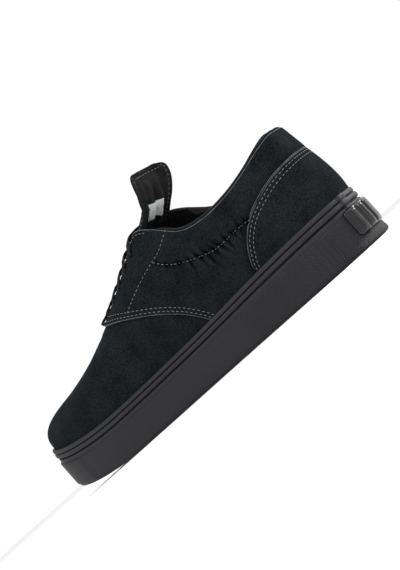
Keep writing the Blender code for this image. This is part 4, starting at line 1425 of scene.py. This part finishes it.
def panel(name, order, span, rows, lift, thickness):
    """Raised suede panel between two rises of each column."""
    columns = []
    shades = []
    edges = []
    for side, turn in order:
        limits = span(side, turn)
        if limits is None:
            continue
        low, high = limits
        controls = wall_controls(side, turn)
        rim = min(CUT_EDGE_WIDTH / np.linalg.norm(controls[3] - controls[0]), (high - low) / 4)
        rises = np.concatenate([[low], np.linspace(low + rim, high - rim, rows - 1), [high]])
        points, _, shade = lifted(side, turn, rises, lift)
        columns.append(points)
        shades.append(shade)
        edges += [1 if low > LEAST_RISE else 0] + [0] * (rows - 2) + [1]
    faces = grid_faces(len(columns), rows + 1)
    mesh = mesh_of(name, np.concatenate(columns), faces, edges[:len(faces)])
    # painted shade in seams, creases, stitch grooves and beside the counter's edge, and painted highlight on
    # the ridges of the puckers, for the suede's colour
    write_values(mesh, "shade", np.clip(np.concatenate(shades), -1, 1))
    made = new_object(name, merged(mesh, PANEL_MERGE), [finish("black_suede"), finish("suede_cut_edge")])
    return thicken(made, thickness, 0, 1)


def counter_span(side, turn):
    high = crossing(side, turn, COUNTER_LINE, 0.0)
    if high is None or high < LEAST_RISE:
        return None
    return 0.0, high


def quarter_span(side, turn):
    low = 0.0
    behind = crossing(side, turn, COUNTER_LINE, CLEARANCE)
    if behind is not None and turn < HEEL_UNTIL:
        low = max(behind, 0.0)
    front = crossing(side, turn, QUARTER_LINE, 0.0)
    if turn > FRONT_FROM:
        ahead = from_line(QUARTER_LINE, wall_points(side, turn, 0.0))[0][0]
        if ahead > 0:
            if front is None:
                return None
            low = max(front, 0.0)
    if low > MOST_LOW:
        return None
    return low, 1.0


def build_counter():
    order = ring_order(QUARTER_COLUMNS)
    made = panel("counter_panel", order, counter_span, COUNTER_ROWS, COUNTER_WALL, COUNTER_WALL)
    smoothed(made.data, 50)
    return piece(made, "suede", "heel_counter")


def build_quarters():
    order = ring_order(QUARTER_COLUMNS)
    made = panel("quarter_panels", order, quarter_span, QUARTER_ROWS, OVERLAY_WALL, OVERLAY_WALL)
    boolean(made, eyelet_cutter())
    smoothed(made.data, 50)
    return piece(made, "suede", "quarters")


def build_collar_pad():
    """Padded lining: it rolls over the top edge and fills out inside the collar."""
    roll = np.array(PAD_ROLL)
    order = ring_order(PAD_COLUMNS, COLLAR_FRONT)
    outer_rises = np.linspace(PAD_LOW_RISE, PAD_TOP_RISE, PAD_OUTER_ROWS)
    inner_rises = np.linspace(PAD_TOP_RISE, PAD_LOW_RISE, PAD_INNER_ROWS)
    columns = []
    maps = []
    for side, turn in order:
        way = turn * SIDES[side][1][-1]
        full = math.sqrt(1 - smooth(turn, COLLAR_FRONT - PAD_TAPER, COLLAR_FRONT) ** 2 * 0.96)
        outer, outer_normals = wall_frame(side, turn, outer_rises)
        outer = outer - outer_normals * (UPPER_WALL + CLEARANCE)
        top, normal = wall_frame(side, turn, 1.0)
        up = unit(wall_points(side, turn, 1.0) - wall_points(side, turn, 1 - RISE_STEP))
        rolled = top - normal * (roll[:, :1] * blend(1, full, 0.7)) + up * (roll[:, 1:] * full)
        inner, inner_normals = wall_frame(side, turn, inner_rises)
        below = np.linalg.norm(inner - top, axis=1)
        thick = np.array([table_at(PAD_FILL, gap)[0] for gap in below]) * full
        inner = inner - inner_normals * (UPPER_WALL + CLEARANCE + thick)[:, None]
        column = np.concatenate([outer, rolled, inner])
        columns.append(column)
        reach = lengths(column)
        maps.append(np.stack([np.full(len(column), side * way), reach], axis=1))
    rows = len(columns[0])
    faces = tube_faces(len(columns), rows)
    mesh = mesh_of("collar_pad", np.concatenate(columns), faces)
    made = new_object("collar_pad", mesh, [finish("lining")])
    write_map(made, np.concatenate(maps))
    face_out(made.data)
    sewn = np.ones(rows)
    sewn[len(outer_rises) + len(roll) - 2:rows - PAD_ROOT] = 0
    held = np.tile(sewn, (len(columns), 1))
    held[:PAD_END_COLUMNS] = 1
    held[-PAD_END_COLUMNS:] = 1
    settle_cloth(made, held.ravel())
    smoothed(made.data, 60)
    return piece(made, "lining_cloth", "collar_lining")


def settle_cloth(item, held):
    """Let a padded piece swell and ripple as cloth, held where it is sewn or backed."""
    before = vertex_array(item)
    group = item.vertex_groups.new(name="held")
    for index, weight in enumerate(held):
        group.add([index], float(weight), "REPLACE")
    cloth = item.modifiers.new("Cloth", "CLOTH").settings
    cloth.vertex_group_mass = "held"
    cloth.quality = CLOTH_QUALITY
    cloth.mass = CLOTH_MASS
    cloth.use_pressure = True
    cloth.uniform_pressure_force = CLOTH_PRESSURE
    cloth.shrink_min = -CLOTH_GROWTH
    cloth.bending_stiffness = CLOTH_BENDING
    cloth.effector_weights.gravity = 0
    scene = bpy.context.scene
    for frame in range(1, CLOTH_FRAMES + 1):
        scene.frame_set(frame)
    graph = bpy.context.evaluated_depsgraph_get()
    done = item.evaluated_get(graph).to_mesh()
    after = np.zeros(len(done.vertices) * 3)
    done.vertices.foreach_get("co", after)
    move = after.reshape(-1, 3) - before
    size = np.maximum(np.linalg.norm(move, axis=1, keepdims=True), 1e-9)
    item.modifiers.clear()
    item.vertex_groups.clear()
    item.data.vertices.foreach_set("co", (before + move * np.minimum(1, MOST_SWELL / size)).ravel())
    item.data.update()
    scene.frame_set(1)


# Tongue
def crown_points(start, end, arch):
    """Points of the low arch between the two edges of the throat."""
    rise = np.linalg.norm(end - start) * arch
    up = np.array((0, 0, 1.0))
    return [blend(start, end, share) + up * (4 * rise * share * (1 - share)) for share in CROWN_SHARES]


def under_eyestay(side, turn, distance):
    rise = rise_below_edge(side, turn, distance)
    point = wall_points(side, turn, rise)[0]
    normal = wall_frame(side, turn, min(rise, 0.98))[1][0]
    return point - normal * (UPPER_WALL + TONGUE_GAP)


def tongue_sections():
    """Points across the tongue, from its root under the vamp to its free end."""
    sections = []
    for turn in TONGUE_TURNS:
        reach_share, arch = table_at(TONGUE_REACH, turn)
        reach = reach_share * THROAT_WIDTH
        left = [under_eyestay(LATERAL, turn, reach), under_eyestay(LATERAL, turn, 0)]
        right = [under_eyestay(MEDIAL, turn, 0), under_eyestay(MEDIAL, turn, reach)]
        sections.append(left + crown_points(left[-1], right[0], arch) + right)
    forward = unit(top_point(LATERAL, VAMP_TURN)[0] - top_point(LATERAL, THROAT_BASE)[0])
    root = forward * TONGUE_ROOT - np.array((0, 0, 2 * TONGUE_GAP))
    sections.insert(0, [point * (ROOT_WIDTH, 1, 1) + root for point in sections[0]])
    crown = (sections[-1][3] + sections[-1][4]) / 2
    for share, width, arch in TONGUE_END:
        sections.append(free_section(crown, share, width * THROAT_WIDTH, arch * THROAT_WIDTH))
    return np.array(sections)


def free_section(crown, share, half_width, arch):
    """Points across the free end of the tongue, which curves up from its crown line."""
    end = crown + np.array((0, -TONGUE_LEAN, TONGUE_RISE))
    leave = crown + np.array((0, -TONGUE_LEAN, TONGUE_LEAN / 2)) * TONGUE_LEAVE
    arrive = end - np.array((0, -TONGUE_LEAN / 2, TONGUE_RISE)) * TONGUE_ARRIVE
    middle = bezier(crown, leave, arrive, end, share)
    onward = bezier(crown, leave, arrive, end, share + RISE_STEP) - middle
    up = unit(np.array((0, onward[2], -onward[1])))
    return [middle + np.array((-place * half_width, 0, 0)) - up * (arch * place * place)
            for place in ACROSS_TONGUE]


def fine_grid(sections, along_steps, across_steps):
    """Finer grid through a coarse one, smooth both ways."""
    lines = np.array([spline(section, across_steps) for section in sections])
    return np.array([spline(lines[:, index], along_steps) for index in range(lines.shape[1])]).swapaxes(0, 1)


def grid_normals(grid):
    run = np.gradient(grid, axis=0)
    across = np.gradient(grid, axis=1)
    return unit(np.cross(across, run))


def border_way(grid):
    """Distance of each grid point from the nearest side or end border, and from the tip."""
    across = np.linalg.norm(np.diff(grid, axis=1), axis=2)
    left = np.concatenate([np.zeros((len(grid), 1)), np.cumsum(across, axis=1)], axis=1)
    side = np.minimum(left, left[:, -1:] - left)
    along = np.linalg.norm(np.diff(grid, axis=0), axis=2)
    start = np.concatenate([np.zeros((1, grid.shape[1])), np.cumsum(along, axis=0)], axis=0)
    tip = start[-1:] - start
    return side, tip, left, start


def tongue_grid():
    grid = fine_grid(tongue_sections(), TONGUE_STEPS_ALONG, TONGUE_STEPS_ACROSS)
    normals = grid_normals(grid)
    if normals[len(normals) // 2, :, 2].mean() < 0:
        normals = -normals
    side, tip, left, start = border_way(grid)
    margin = np.minimum(side, tip)
    fold = np.sin(left * FOLD_TURNS + FOLD_WANDER * np.sin(start * WANDER_TURNS)) * smooth(tip, *FOLD_TIP)
    fold *= FOLD_DEPTH * smooth(margin, *FOLD_MARGIN) * (1 - smooth(tip, *FOLD_END))
    round_edge = np.sqrt(np.clip(1 - (1 - np.clip(margin / TONGUE_ROUND, 0, 1)) ** 2, 0, 1))
    seam = ROW_SINK * dip(margin - TONGUE_ROW, ROW_SINK_WIDTH)
    thick = blend(TONGUE_EDGE, TONGUE_THICKNESS, smooth(margin, TONGUE_ROUND, 3 * TONGUE_ROUND))
    share = left / left[:, -1:]
    across = smooth(share, *PUFF_ACROSS) * smooth(1 - share, *PUFF_ACROSS)
    puff = np.interp(tip, *zip(*TONGUE_PUFF)) * smooth(start, PUFF_START, PUFF_FULL) * across
    outer = grid + normals * (TONGUE_EDGE_BULGE * (round_edge - 1) - seam * 0.5 + puff)[..., None]
    inner = grid - normals * (thick * blend(EDGE_SHARE, 1, round_edge) - seam + fold)[..., None]
    sewn = 1 - smooth(margin, TONGUE_ROW, TONGUE_ROW + SEWN_RAMP)
    backed = np.maximum(sewn, smooth(tip, *BACKED_WAY))
    return grid, normals, outer, inner, left, start, np.stack([backed, backed])


def build_tongue():
    """Padded tongue: suede in front, lining with a stitched border and folds behind."""
    grid, _, outer, inner, left, start, held = tongue_grid()
    count, rows = grid.shape[:2]
    size = count * rows
    front = grid_faces(count, rows)
    back = [tuple(reversed([corner + size for corner in face])) for face in front]
    border = [column * rows for column in range(count)]
    border += [(count - 1) * rows + row for row in range(1, rows)]
    border += [column * rows + rows - 1 for column in range(count - 2, -1, -1)]
    border += [row for row in range(rows - 2, 0, -1)]
    rim = [(border[index], border[(index + 1) % len(border)],
            border[(index + 1) % len(border)] + size, border[index] + size)
           for index in range(len(border))]
    points = np.concatenate([outer.reshape(-1, 3), inner.reshape(-1, 3)])
    mesh = mesh_of("tongue_pad", points, front + back + rim)
    made = new_object("tongue_pad", mesh, [finish("black_suede"), finish("lining")])
    flat = np.stack([left.ravel(), start.ravel()], axis=1)
    write_map(made, np.concatenate([flat, flat]))
    made.data.polygons.foreach_set("material_index", [0] * len(front) + [1] * (len(back) + len(rim)))
    face_out(made.data)
    settle_cloth(made, held.ravel())
    smoothed(made.data, 60)
    return piece(made, "suede", "tongue")


def build_label():
    """Blank white label sewn to the lining of the tongue."""
    pad = bpy.data.objects["tongue_pad"]
    _, normals, _, inner, left, start, _ = tongue_grid()
    steps = LABEL_STEPS
    tip_way = start[-1:] - start
    middle = left[:, -1:] / 2
    points = []
    maps = []
    for up in range(steps // 2 + 1):
        goal = LABEL_DROP + LABEL_HEIGHT * up / (steps // 2)
        row = int(np.abs(tip_way[:, tip_way.shape[1] // 2] - goal).argmin())
        for index in range(steps + 1):
            across = middle[row, 0] + LABEL_WIDTH * (index / steps - 0.5)
            out = unit(at_way(normals[row], left[row], across))
            behind = at_way(inner[row], left[row], across) - out * LABEL_REACH
            found, spot, _, _ = pad.ray_cast(Vector(behind), Vector(out))
            if not found:
                raise RuntimeError("the label misses the tongue")
            points.append(np.array(spot) - out * (LABEL_THICKNESS + CLEARANCE))
            maps.append((across, goal))
    mesh = mesh_of("tongue_label", points, grid_faces(steps // 2 + 1, steps + 1))
    made = new_object("tongue_label", mesh, [finish("label")])
    write_map(made, maps)
    thicken(made, LABEL_THICKNESS)
    smoothed(made.data)
    return piece(made, "lining_cloth")


# Laces
def lace_half(side, turn, lift):
    """Stations of a lace from inside its hole to the throat edge."""
    rise = rise_below_edge(side, turn, EYELET_INSET)
    hole, out = (values[0] for values in wall_frame(side, turn, rise))
    stations = [(hole - out * UPPER_WALL / 2, LACE_STUB), (hole + out * lift, LACE_STUB * 1.25)]
    for share in LACE_SHARES:
        place = blend(rise, 1.0, share)
        point = wall_points(side, turn, place)[0]
        normal = wall_frame(side, turn, min(place, 0.98))[1][0]
        stations.append((point + normal * lift, LACE_WIDTH))
    return stations


def build_lace(number, turn):
    """Flat woven lace from one eyelet over the tongue to the other."""
    lift = OVERLAY_GAP + OVERLAY_WALL + CLEARANCE + LACE_THICKNESS / 2 + LACE_EASE
    left = lace_half(LATERAL, turn, lift)
    right = lace_half(MEDIAL, turn, lift)
    start, end = left[-1][0], right[-1][0]
    crown = [(place, LACE_WIDTH) for place in crown_points(start, end, LACE_ARCH)]
    stations = left + crown + list(reversed(right))
    out = sum(wall_frame(side, turn, 0.98)[1][0] for side in (LATERAL, MEDIAL))
    wide_way = unit(np.cross(out, unit(end - start)))
    places = spline([place for place, width in stations], LACE_STEPS)
    widths = spline([(width, 0) for place, width in stations], LACE_STEPS)[:, 0]
    run = unit(np.gradient(places, axis=0))
    flat = unit(np.cross(run, wide_way))
    around = np.linspace(0, 2 * math.pi, LACE_SIDES, endpoint=False)
    wide = np.sign(np.cos(around)) * np.abs(np.cos(around)) ** LACE_FLATNESS
    thick = np.sign(np.sin(around)) * np.abs(np.sin(around)) ** LACE_ROUNDNESS
    rings = []
    maps = []
    reach = lengths(places)
    for index, place in enumerate(places):
        ring = place + wide[:, None] * wide_way * widths[index] / 2
        ring = ring + thick[:, None] * flat[index] * LACE_THICKNESS / 2
        rings.append(ring)
        maps += [(reach[index], value * widths[index] / 2) for value in wide]
    faces = tube_faces(len(rings), LACE_SIDES)
    name = "lace_%d" % number
    made = new_object(name, mesh_of(name, np.concatenate(rings), faces), [finish("flat_lace")])
    write_map(made, maps)
    face_out(made.data)
    smoothed(made.data, 70)
    return piece(made, "lace_cloth", "lace_bar_%d" % number)


# Stitches
def stitch_tree():
    """Geometry Nodes that lay one thread stitch at each pitch of a line and, half a pitch on, a flat dark
    disc of painted shade for its needle hole.
    """
    tree = bpy.data.node_groups.get("Stitch row")
    if tree is not None:
        return tree
    tree = bpy.data.node_groups.new("Stitch row", "GeometryNodeTree")
    sockets = (("Line", "INPUT", "Geometry"), ("Pitch", "INPUT", "Float"),
               ("Stitch Length", "INPUT", "Float"), ("Thread Width", "INPUT", "Float"),
               ("Thread", "INPUT", "Material"), ("Hole", "INPUT", "Material"),
               ("Stitches", "OUTPUT", "Geometry"))
    for name, way, kind in sockets:
        tree.interface.new_socket(name, in_out=way, socket_type="NodeSocket" + kind)
    given = add(tree, "NodeGroupInput").outputs
    curve = add(tree, "GeometryNodeMeshToCurve", {0: given["Line"]})
    even = add(tree, "GeometryNodeResampleCurve", {"Curve": curve.outputs[0], "Length": given["Pitch"]},
               mode="LENGTH")
    tangent = add(tree, "GeometryNodeInputTangent")
    out = add(tree, "GeometryNodeInputNamedAttribute", {"Name": "out"}, data_type="FLOAT_VECTOR")
    along = add(tree, "FunctionNodeAlignRotationToVector", {"Vector": tangent.outputs[0]}, axis="X")
    turned_out = add(tree, "FunctionNodeAlignRotationToVector",
                     {"Rotation": along.outputs[0], "Vector": out.outputs[0]}, axis="Z", pivot_axis="X")
    width = given["Thread Width"]
    wide = math_node(tree, "MULTIPLY", width, HOLE_WIDTH)
    flat = math_node(tree, "MULTIPLY", width, HOLE_HEIGHT)
    half_way = math_node(tree, "MULTIPLY", given["Pitch"], 0.5)
    shift = add(tree, "ShaderNodeCombineXYZ", {0: half_way}).outputs[0]
    both = add(tree, "GeometryNodeJoinGeometry")
    for kind, segments, rings, sizes, moved in (
            ("Thread", 8, 5, (given["Stitch Length"], width, width), {}),
            ("Hole", 7, 3, (wide, wide, flat), {"Translation": shift})):
        ball = add(tree, "GeometryNodeMeshUVSphere", {"Segments": segments, "Rings": rings, "Radius": 0.5})
        size = add(tree, "ShaderNodeCombineXYZ", dict(enumerate(sizes)))
        shape = add(tree, "GeometryNodeTransform", {"Geometry": ball.outputs[0],
                                                    "Scale": size.outputs[0], **moved})
        paint = add(tree, "GeometryNodeSetMaterial", {"Geometry": shape.outputs[0], "Material": given[kind]})
        tree.links.new(paint.outputs[0], both.inputs[0])
    laid = add(tree, "GeometryNodeInstanceOnPoints", {"Points": even.outputs[0], "Instance": both.outputs[0],
                                                      "Rotation": turned_out.outputs[0]})
    real = add(tree, "GeometryNodeRealizeInstances", {0: laid.outputs[0]})
    soft = add(tree, "GeometryNodeSetShadeSmooth", {0: real.outputs[0]})
    add(tree, "NodeGroupOutput", {0: soft.outputs[0]})
    return tree


def stitch_rows(name, rows, slot, sizes, pitch=None):
    """One piece with a row of stitches along each list of (points, outward normals)."""
    points = np.concatenate([row[0] for row in rows])
    normals = np.concatenate([row[1] for row in rows])
    edges = []
    start = 0
    for row, _ in rows:
        edges += [(start + index, start + index + 1) for index in range(len(row) - 1)]
        start += len(row)
    mesh = bpy.data.meshes.new(name)
    mesh.from_pydata([tuple(point) for point in points], edges, [])
    mark = mesh.attributes.new("out", "FLOAT_VECTOR", "POINT")
    mark.data.foreach_set("vector", normals.astype(np.float32).ravel())
    made = new_object(name, mesh)
    tree = stitch_tree()
    modifier = made.modifiers.new("Stitches", "NODES")
    modifier.node_group = tree
    values = {"Pitch": pitch or sizes.stitch_pitch, "Stitch Length": sizes.stitch_length,
              "Thread Width": sizes.thread_width, "Thread": finish("thread"), "Hole": finish("needle_hole")}
    for item in tree.interface.items_tree:
        if item.in_out == "INPUT" and item.name in values:
            modifier[item.identifier] = values[item.name]
    settle(made)
    return piece(made, slot)


def sewn_on(spots, side, lift):
    """Points and outward normals on an overlay at (turn, rise) spots."""
    found = [lifted(side, turn, np.array((rise,)), lift) for turn, rise in spots]
    return np.array([points[0] for points, _, _ in found]), np.array([out[0] for _, out, _ in found])


def row_along(line, distance, side, first, last, lift, inside=None):
    """Row on an overlay along a side line, a set distance from it."""
    spots = []
    for turn in np.linspace(first, last, ROW_SPOTS_ALONG + 1):
        rise = crossing(side, turn, line, distance)
        if rise is None or not ROW_RISES[0] <= rise <= ROW_RISES[1]:
            continue
        if inside is None or inside(side, turn, rise):
            spots.append((turn, rise))
    return sewn_on(spots, side, lift)


def on_collar(side, turn, rise):
    """Whether a spot of the collar seam lies between the counter and the eyestay."""
    point = wall_points(side, turn, rise)
    return from_line(COUNTER_LINE, point)[0][0] > SEAM_BACK_GAP and point[0][1] < along_y(SEAM_FRONT)


def on_quarter(side, turn, rise):
    """Whether a spot lies behind the front edge of the quarter, clear of its stitches."""
    point = wall_points(side, turn, rise)
    return from_line(QUARTER_LINE, point)[0][0] < -SECOND_ROW


def row_below_edge(distance, side, first, last, lift):
    turns = np.linspace(first, last, ROW_SPOTS_BELOW + 1)
    return sewn_on([(turn, rise_below_edge(side, turn, distance)) for turn in turns], side, lift)


def build_stitches(sizes):
    counter_rows = []
    panel_rows = []
    for distance in (FIRST_ROW, SECOND_ROW):
        halves = [row_along(COUNTER_LINE, -distance, side, 0.0, 0.30, COUNTER_WALL)
                  for side in (MEDIAL, LATERAL)]
        points = np.concatenate([halves[0][0][::-1], halves[1][0]])
        normals = np.concatenate([halves[0][1][::-1], halves[1][1]])
        counter_rows.append((points, normals))
    for side in (LATERAL, MEDIAL):
        for distance in (FIRST_ROW, SECOND_ROW):
            panel_rows.append(row_along(QUARTER_LINE, -distance, side, 0.36, 0.652, OVERLAY_WALL))
        panel_rows.append(row_below_edge(THROAT_ROW, side, 0.40, 0.640, OVERLAY_WALL))
        panel_rows.append(row_along(EYESTAY, 0.0, side, 0.34, 0.60, OVERLAY_WALL, on_quarter))
        panel_rows.append(row_along(SEAM_LINE, 0.0, side, 0.10, 0.44, OVERLAY_WALL, on_collar))
    stitch_rows("counter_stitches", counter_rows, "suede", sizes)
    stitch_rows("panel_stitches", panel_rows, "suede", sizes)
    stitch_rows("tongue_stitches", tongue_rows(), "lining_cloth", sizes)


def tongue_rows():
    """Row just inside the border of the tongue, on its lining side and on its front."""
    grid, normals, outer, inner, left, _, _ = tongue_grid()
    tip = border_way(grid)[1]
    first = len(grid) // 2
    rows = []
    for face, sign in ((inner, -1), (outer, 1)):
        path, out = [], []
        for index in range(first, len(grid)):
            if tip[index, 0] < ROW_CORNER:
                break
            path.append(at_way(face[index], left[index], TONGUE_ROW))
            out.append(at_way(normals[index], left[index], TONGUE_ROW) * sign)
        row = int(np.abs(tip[:, grid.shape[1] // 2] - TONGUE_ROW).argmin())
        for way in np.linspace(ROW_CORNER, left[row, -1] - ROW_CORNER, ROW_SPOTS):
            path.append(at_way(face[row], left[row], way))
            out.append(at_way(normals[row], left[row], way) * sign)
        for index in range(len(grid) - 1, first - 1, -1):
            if tip[index, -1] < ROW_CORNER:
                continue
            way = left[index, -1] - TONGUE_ROW
            path.append(at_way(face[index], left[index], way))
            out.append(at_way(normals[index], left[index], way) * sign)
        rows.append((np.array(path), np.array(out)))
    return rows


def at_way(values, left, way):
    return np.array([np.interp(way, left, values[:, axis]) for axis in range(3)])


# Stage
def area_light(name, place, aim, size, power, colour):
    lamp = bpy.data.lights.new(name, "AREA")
    lamp.shape = "DISK"
    lamp.size = size
    lamp.energy = power
    lamp.color = colour
    made = bpy.data.objects.new(name, lamp)
    bpy.context.scene.collection.objects.link(made)
    made.location = place
    made.rotation_mode = "QUATERNION"
    made.rotation_quaternion = (Vector(aim) - Vector(place)).to_track_quat("-Z", "Y")
    return made


def build_stage():
    scene = bpy.context.scene
    shape = bmesh.new()
    bmesh.ops.create_circle(shape, cap_ends=True, segments=FLOOR_SIDES, radius=FLOOR_RADIUS)
    mesh = into_mesh(shape, bpy.data.meshes.new("floor"))
    made, _, _ = new_finish("pale_floor", 0.7, Base_Color=FLOOR_COLOUR)
    floor = new_object("floor", mesh, [made])
    world = scene.world or bpy.data.worlds.new("Studio")
    scene.world = world
    world.use_nodes = True
    sky = world.node_tree.nodes["Background"]
    sky.inputs["Color"].default_value = SKY_COLOUR
    sky.inputs["Strength"].default_value = SKY_STRENGTH
    scene.view_settings.view_transform = "Standard"
    for values in LIGHTS:
        area_light(*values)
    lens = bpy.data.cameras.new("photo_camera")
    lens.lens = CAMERA_LENS
    lens.clip_start = CAMERA_NEAR
    camera = bpy.data.objects.new("photo_camera", lens)
    scene.collection.objects.link(camera)
    aim = Vector(CAMERA_AIM)
    flat = Vector((math.sin(CAMERA_AZIMUTH), -math.cos(CAMERA_AZIMUTH), 0)) * CAMERA_DISTANCE
    camera.location = (aim.x + flat.x, aim.y + flat.y, CAMERA_HEIGHT)
    look = (aim - camera.location).to_track_quat("-Z", "Y")
    camera.rotation_mode = "QUATERNION"
    camera.rotation_quaternion = look @ Quaternion((0, 0, 1), CAMERA_ROLL)
    scene.camera = camera


class ShoeSizes(bpy.types.PropertyGroup):
    """Sizes of the thread work"""
    stitch_pitch: bpy.props.FloatProperty(name="Stitch Pitch", description="From one stitch to the next",
                                          default=0.0031, min=0.001, unit="LENGTH")
    stitch_length: bpy.props.FloatProperty(name="Stitch Length", description="Thread that shows",
                                           default=0.0021, min=0.0005, unit="LENGTH")
    thread_width: bpy.props.FloatProperty(name="Thread Width", description="Width of the thread",
                                          default=0.0006, min=0.0002, unit="LENGTH")


def colour_property(name, description, default):
    return bpy.props.FloatVectorProperty(name=name, description=description, default=default,
                                         min=0, max=1, size=3, subtype="COLOR")


class ShoeColours(bpy.types.PropertyGroup):
    """Colours of the finishes"""
    suede: colour_property("Suede", "Main colour of the upper", (0.0056, 0.0068, 0.0078))
    cut_edge: colour_property("Cut Edge", "Raw edges of the panels", (0.060, 0.068, 0.076))
    thread: colour_property("Thread", "Stitches", (0.10, 0.105, 0.11))
    # painted shade of the needle holes
    needle_hole: colour_property("Needle Hole", "Holes between the stitches", (0.002, 0.002, 0.002))
    wall: colour_property("Side Wall", "Rubber round the sole", (0.0130, 0.0125, 0.0152))
    gloss: colour_property("Heel Tab", "Glossy rubber", (0.005, 0.005, 0.0055))
    # painted reflection, brown, at the tab's outer end
    gloss_painted_sheen: colour_property("Heel Tab Sheen", "Brown sheen at its outer end", (0.020, 0.013, 0.010))
    gum: colour_property("Gum", "Ribs and rim of the outsole", (0.20, 0.162, 0.140))
    # painted shade and dirt of the pocket floors
    gum_pocket_shade_and_dirt: colour_property("Gum Pockets", "Floors of the tread pockets", (0.085, 0.050, 0.030))
    lining: colour_property("Lining", "Collar lining and footbed", (0.0085, 0.0080, 0.0080))
    lace: colour_property("Laces", "Flat laces", (0.0085, 0.0085, 0.0092))
    label: colour_property("Label", "Blank label on the tongue", (0.72, 0.75, 0.76))


class SHOE_OT_sole(bpy.types.Operator):
    """Build the side wall, the heel tab, the gum outsole and the footbed"""
    bl_idname = "shoe.build_sole"
    bl_label = "Sole"

    def execute(self, context):
        build_side_wall()
        build_heel_tab()
        build_gum_sole()
        build_footbed()
        return {"FINISHED"}


class SHOE_OT_upper(bpy.types.Operator):
    """Build the hollow upper, its quarters and the heel counter"""
    bl_idname = "shoe.build_upper"
    bl_label = "Upper"

    def execute(self, context):
        build_upper_shell()
        build_quarters()
        build_counter()
        return {"FINISHED"}


class SHOE_OT_padding(bpy.types.Operator):
    """Build the padded collar, the tongue and its blank label"""
    bl_idname = "shoe.build_padding"
    bl_label = "Collar and Tongue"

    def execute(self, context):
        build_collar_pad()
        build_tongue()
        build_label()
        return {"FINISHED"}


class SHOE_OT_laces(bpy.types.Operator):
    """Lay the flat laces across the throat"""
    bl_idname = "shoe.build_laces"
    bl_label = "Laces"

    def execute(self, context):
        for pair, turn in enumerate(eyelet_turns()):
            build_lace(pair + 1, turn)
        return {"FINISHED"}


class SHOE_OT_stitches(bpy.types.Operator):
    """Sew the rows of stitches"""
    bl_idname = "shoe.build_stitches"
    bl_label = "Stitches"

    def execute(self, context):
        build_stitches(context.scene.shoe_sizes)
        return {"FINISHED"}


class SHOE_OT_stage(bpy.types.Operator):
    """Add the floor, the lights and the camera"""
    bl_idname = "shoe.build_stage"
    bl_label = "Stage"

    def execute(self, context):
        build_stage()
        return {"FINISHED"}


class SHOE_PT_panel(bpy.types.Panel):
    """Sizes, colours and steps of the shoe"""
    bl_idname = "SHOE_PT_panel"
    bl_label = "Skateboarding Shoe"
    bl_space_type = "VIEW_3D"
    bl_region_type = "UI"
    bl_category = "Shoe"

    def draw(self, context):
        layout = self.layout
        for group in (context.scene.shoe_sizes, context.scene.shoe_colours):
            box = layout.box()
            for name in group.__annotations__:
                box.prop(group, name)
        for operator in OPERATORS:
            layout.operator(operator.bl_idname)


OPERATORS = (SHOE_OT_sole, SHOE_OT_upper, SHOE_OT_padding, SHOE_OT_laces, SHOE_OT_stitches, SHOE_OT_stage)
CLASSES = (ShoeSizes, ShoeColours) + OPERATORS + (SHOE_PT_panel,)


def register():
    for made in CLASSES:
        bpy.utils.register_class(made)
    bpy.types.Scene.shoe_sizes = bpy.props.PointerProperty(type=ShoeSizes)
    bpy.types.Scene.shoe_colours = bpy.props.PointerProperty(type=ShoeColours)


def unregister():
    del bpy.types.Scene.shoe_colours
    del bpy.types.Scene.shoe_sizes
    for made in reversed(CLASSES):
        bpy.utils.unregister_class(made)


def main():
    register()
    bpy.ops.shoe.build_sole()
    bpy.ops.shoe.build_upper()
    bpy.ops.shoe.build_padding()
    bpy.ops.shoe.build_laces()
    bpy.ops.shoe.build_stitches()
    bpy.ops.shoe.build_stage()


if __name__ == "__main__":
    main()
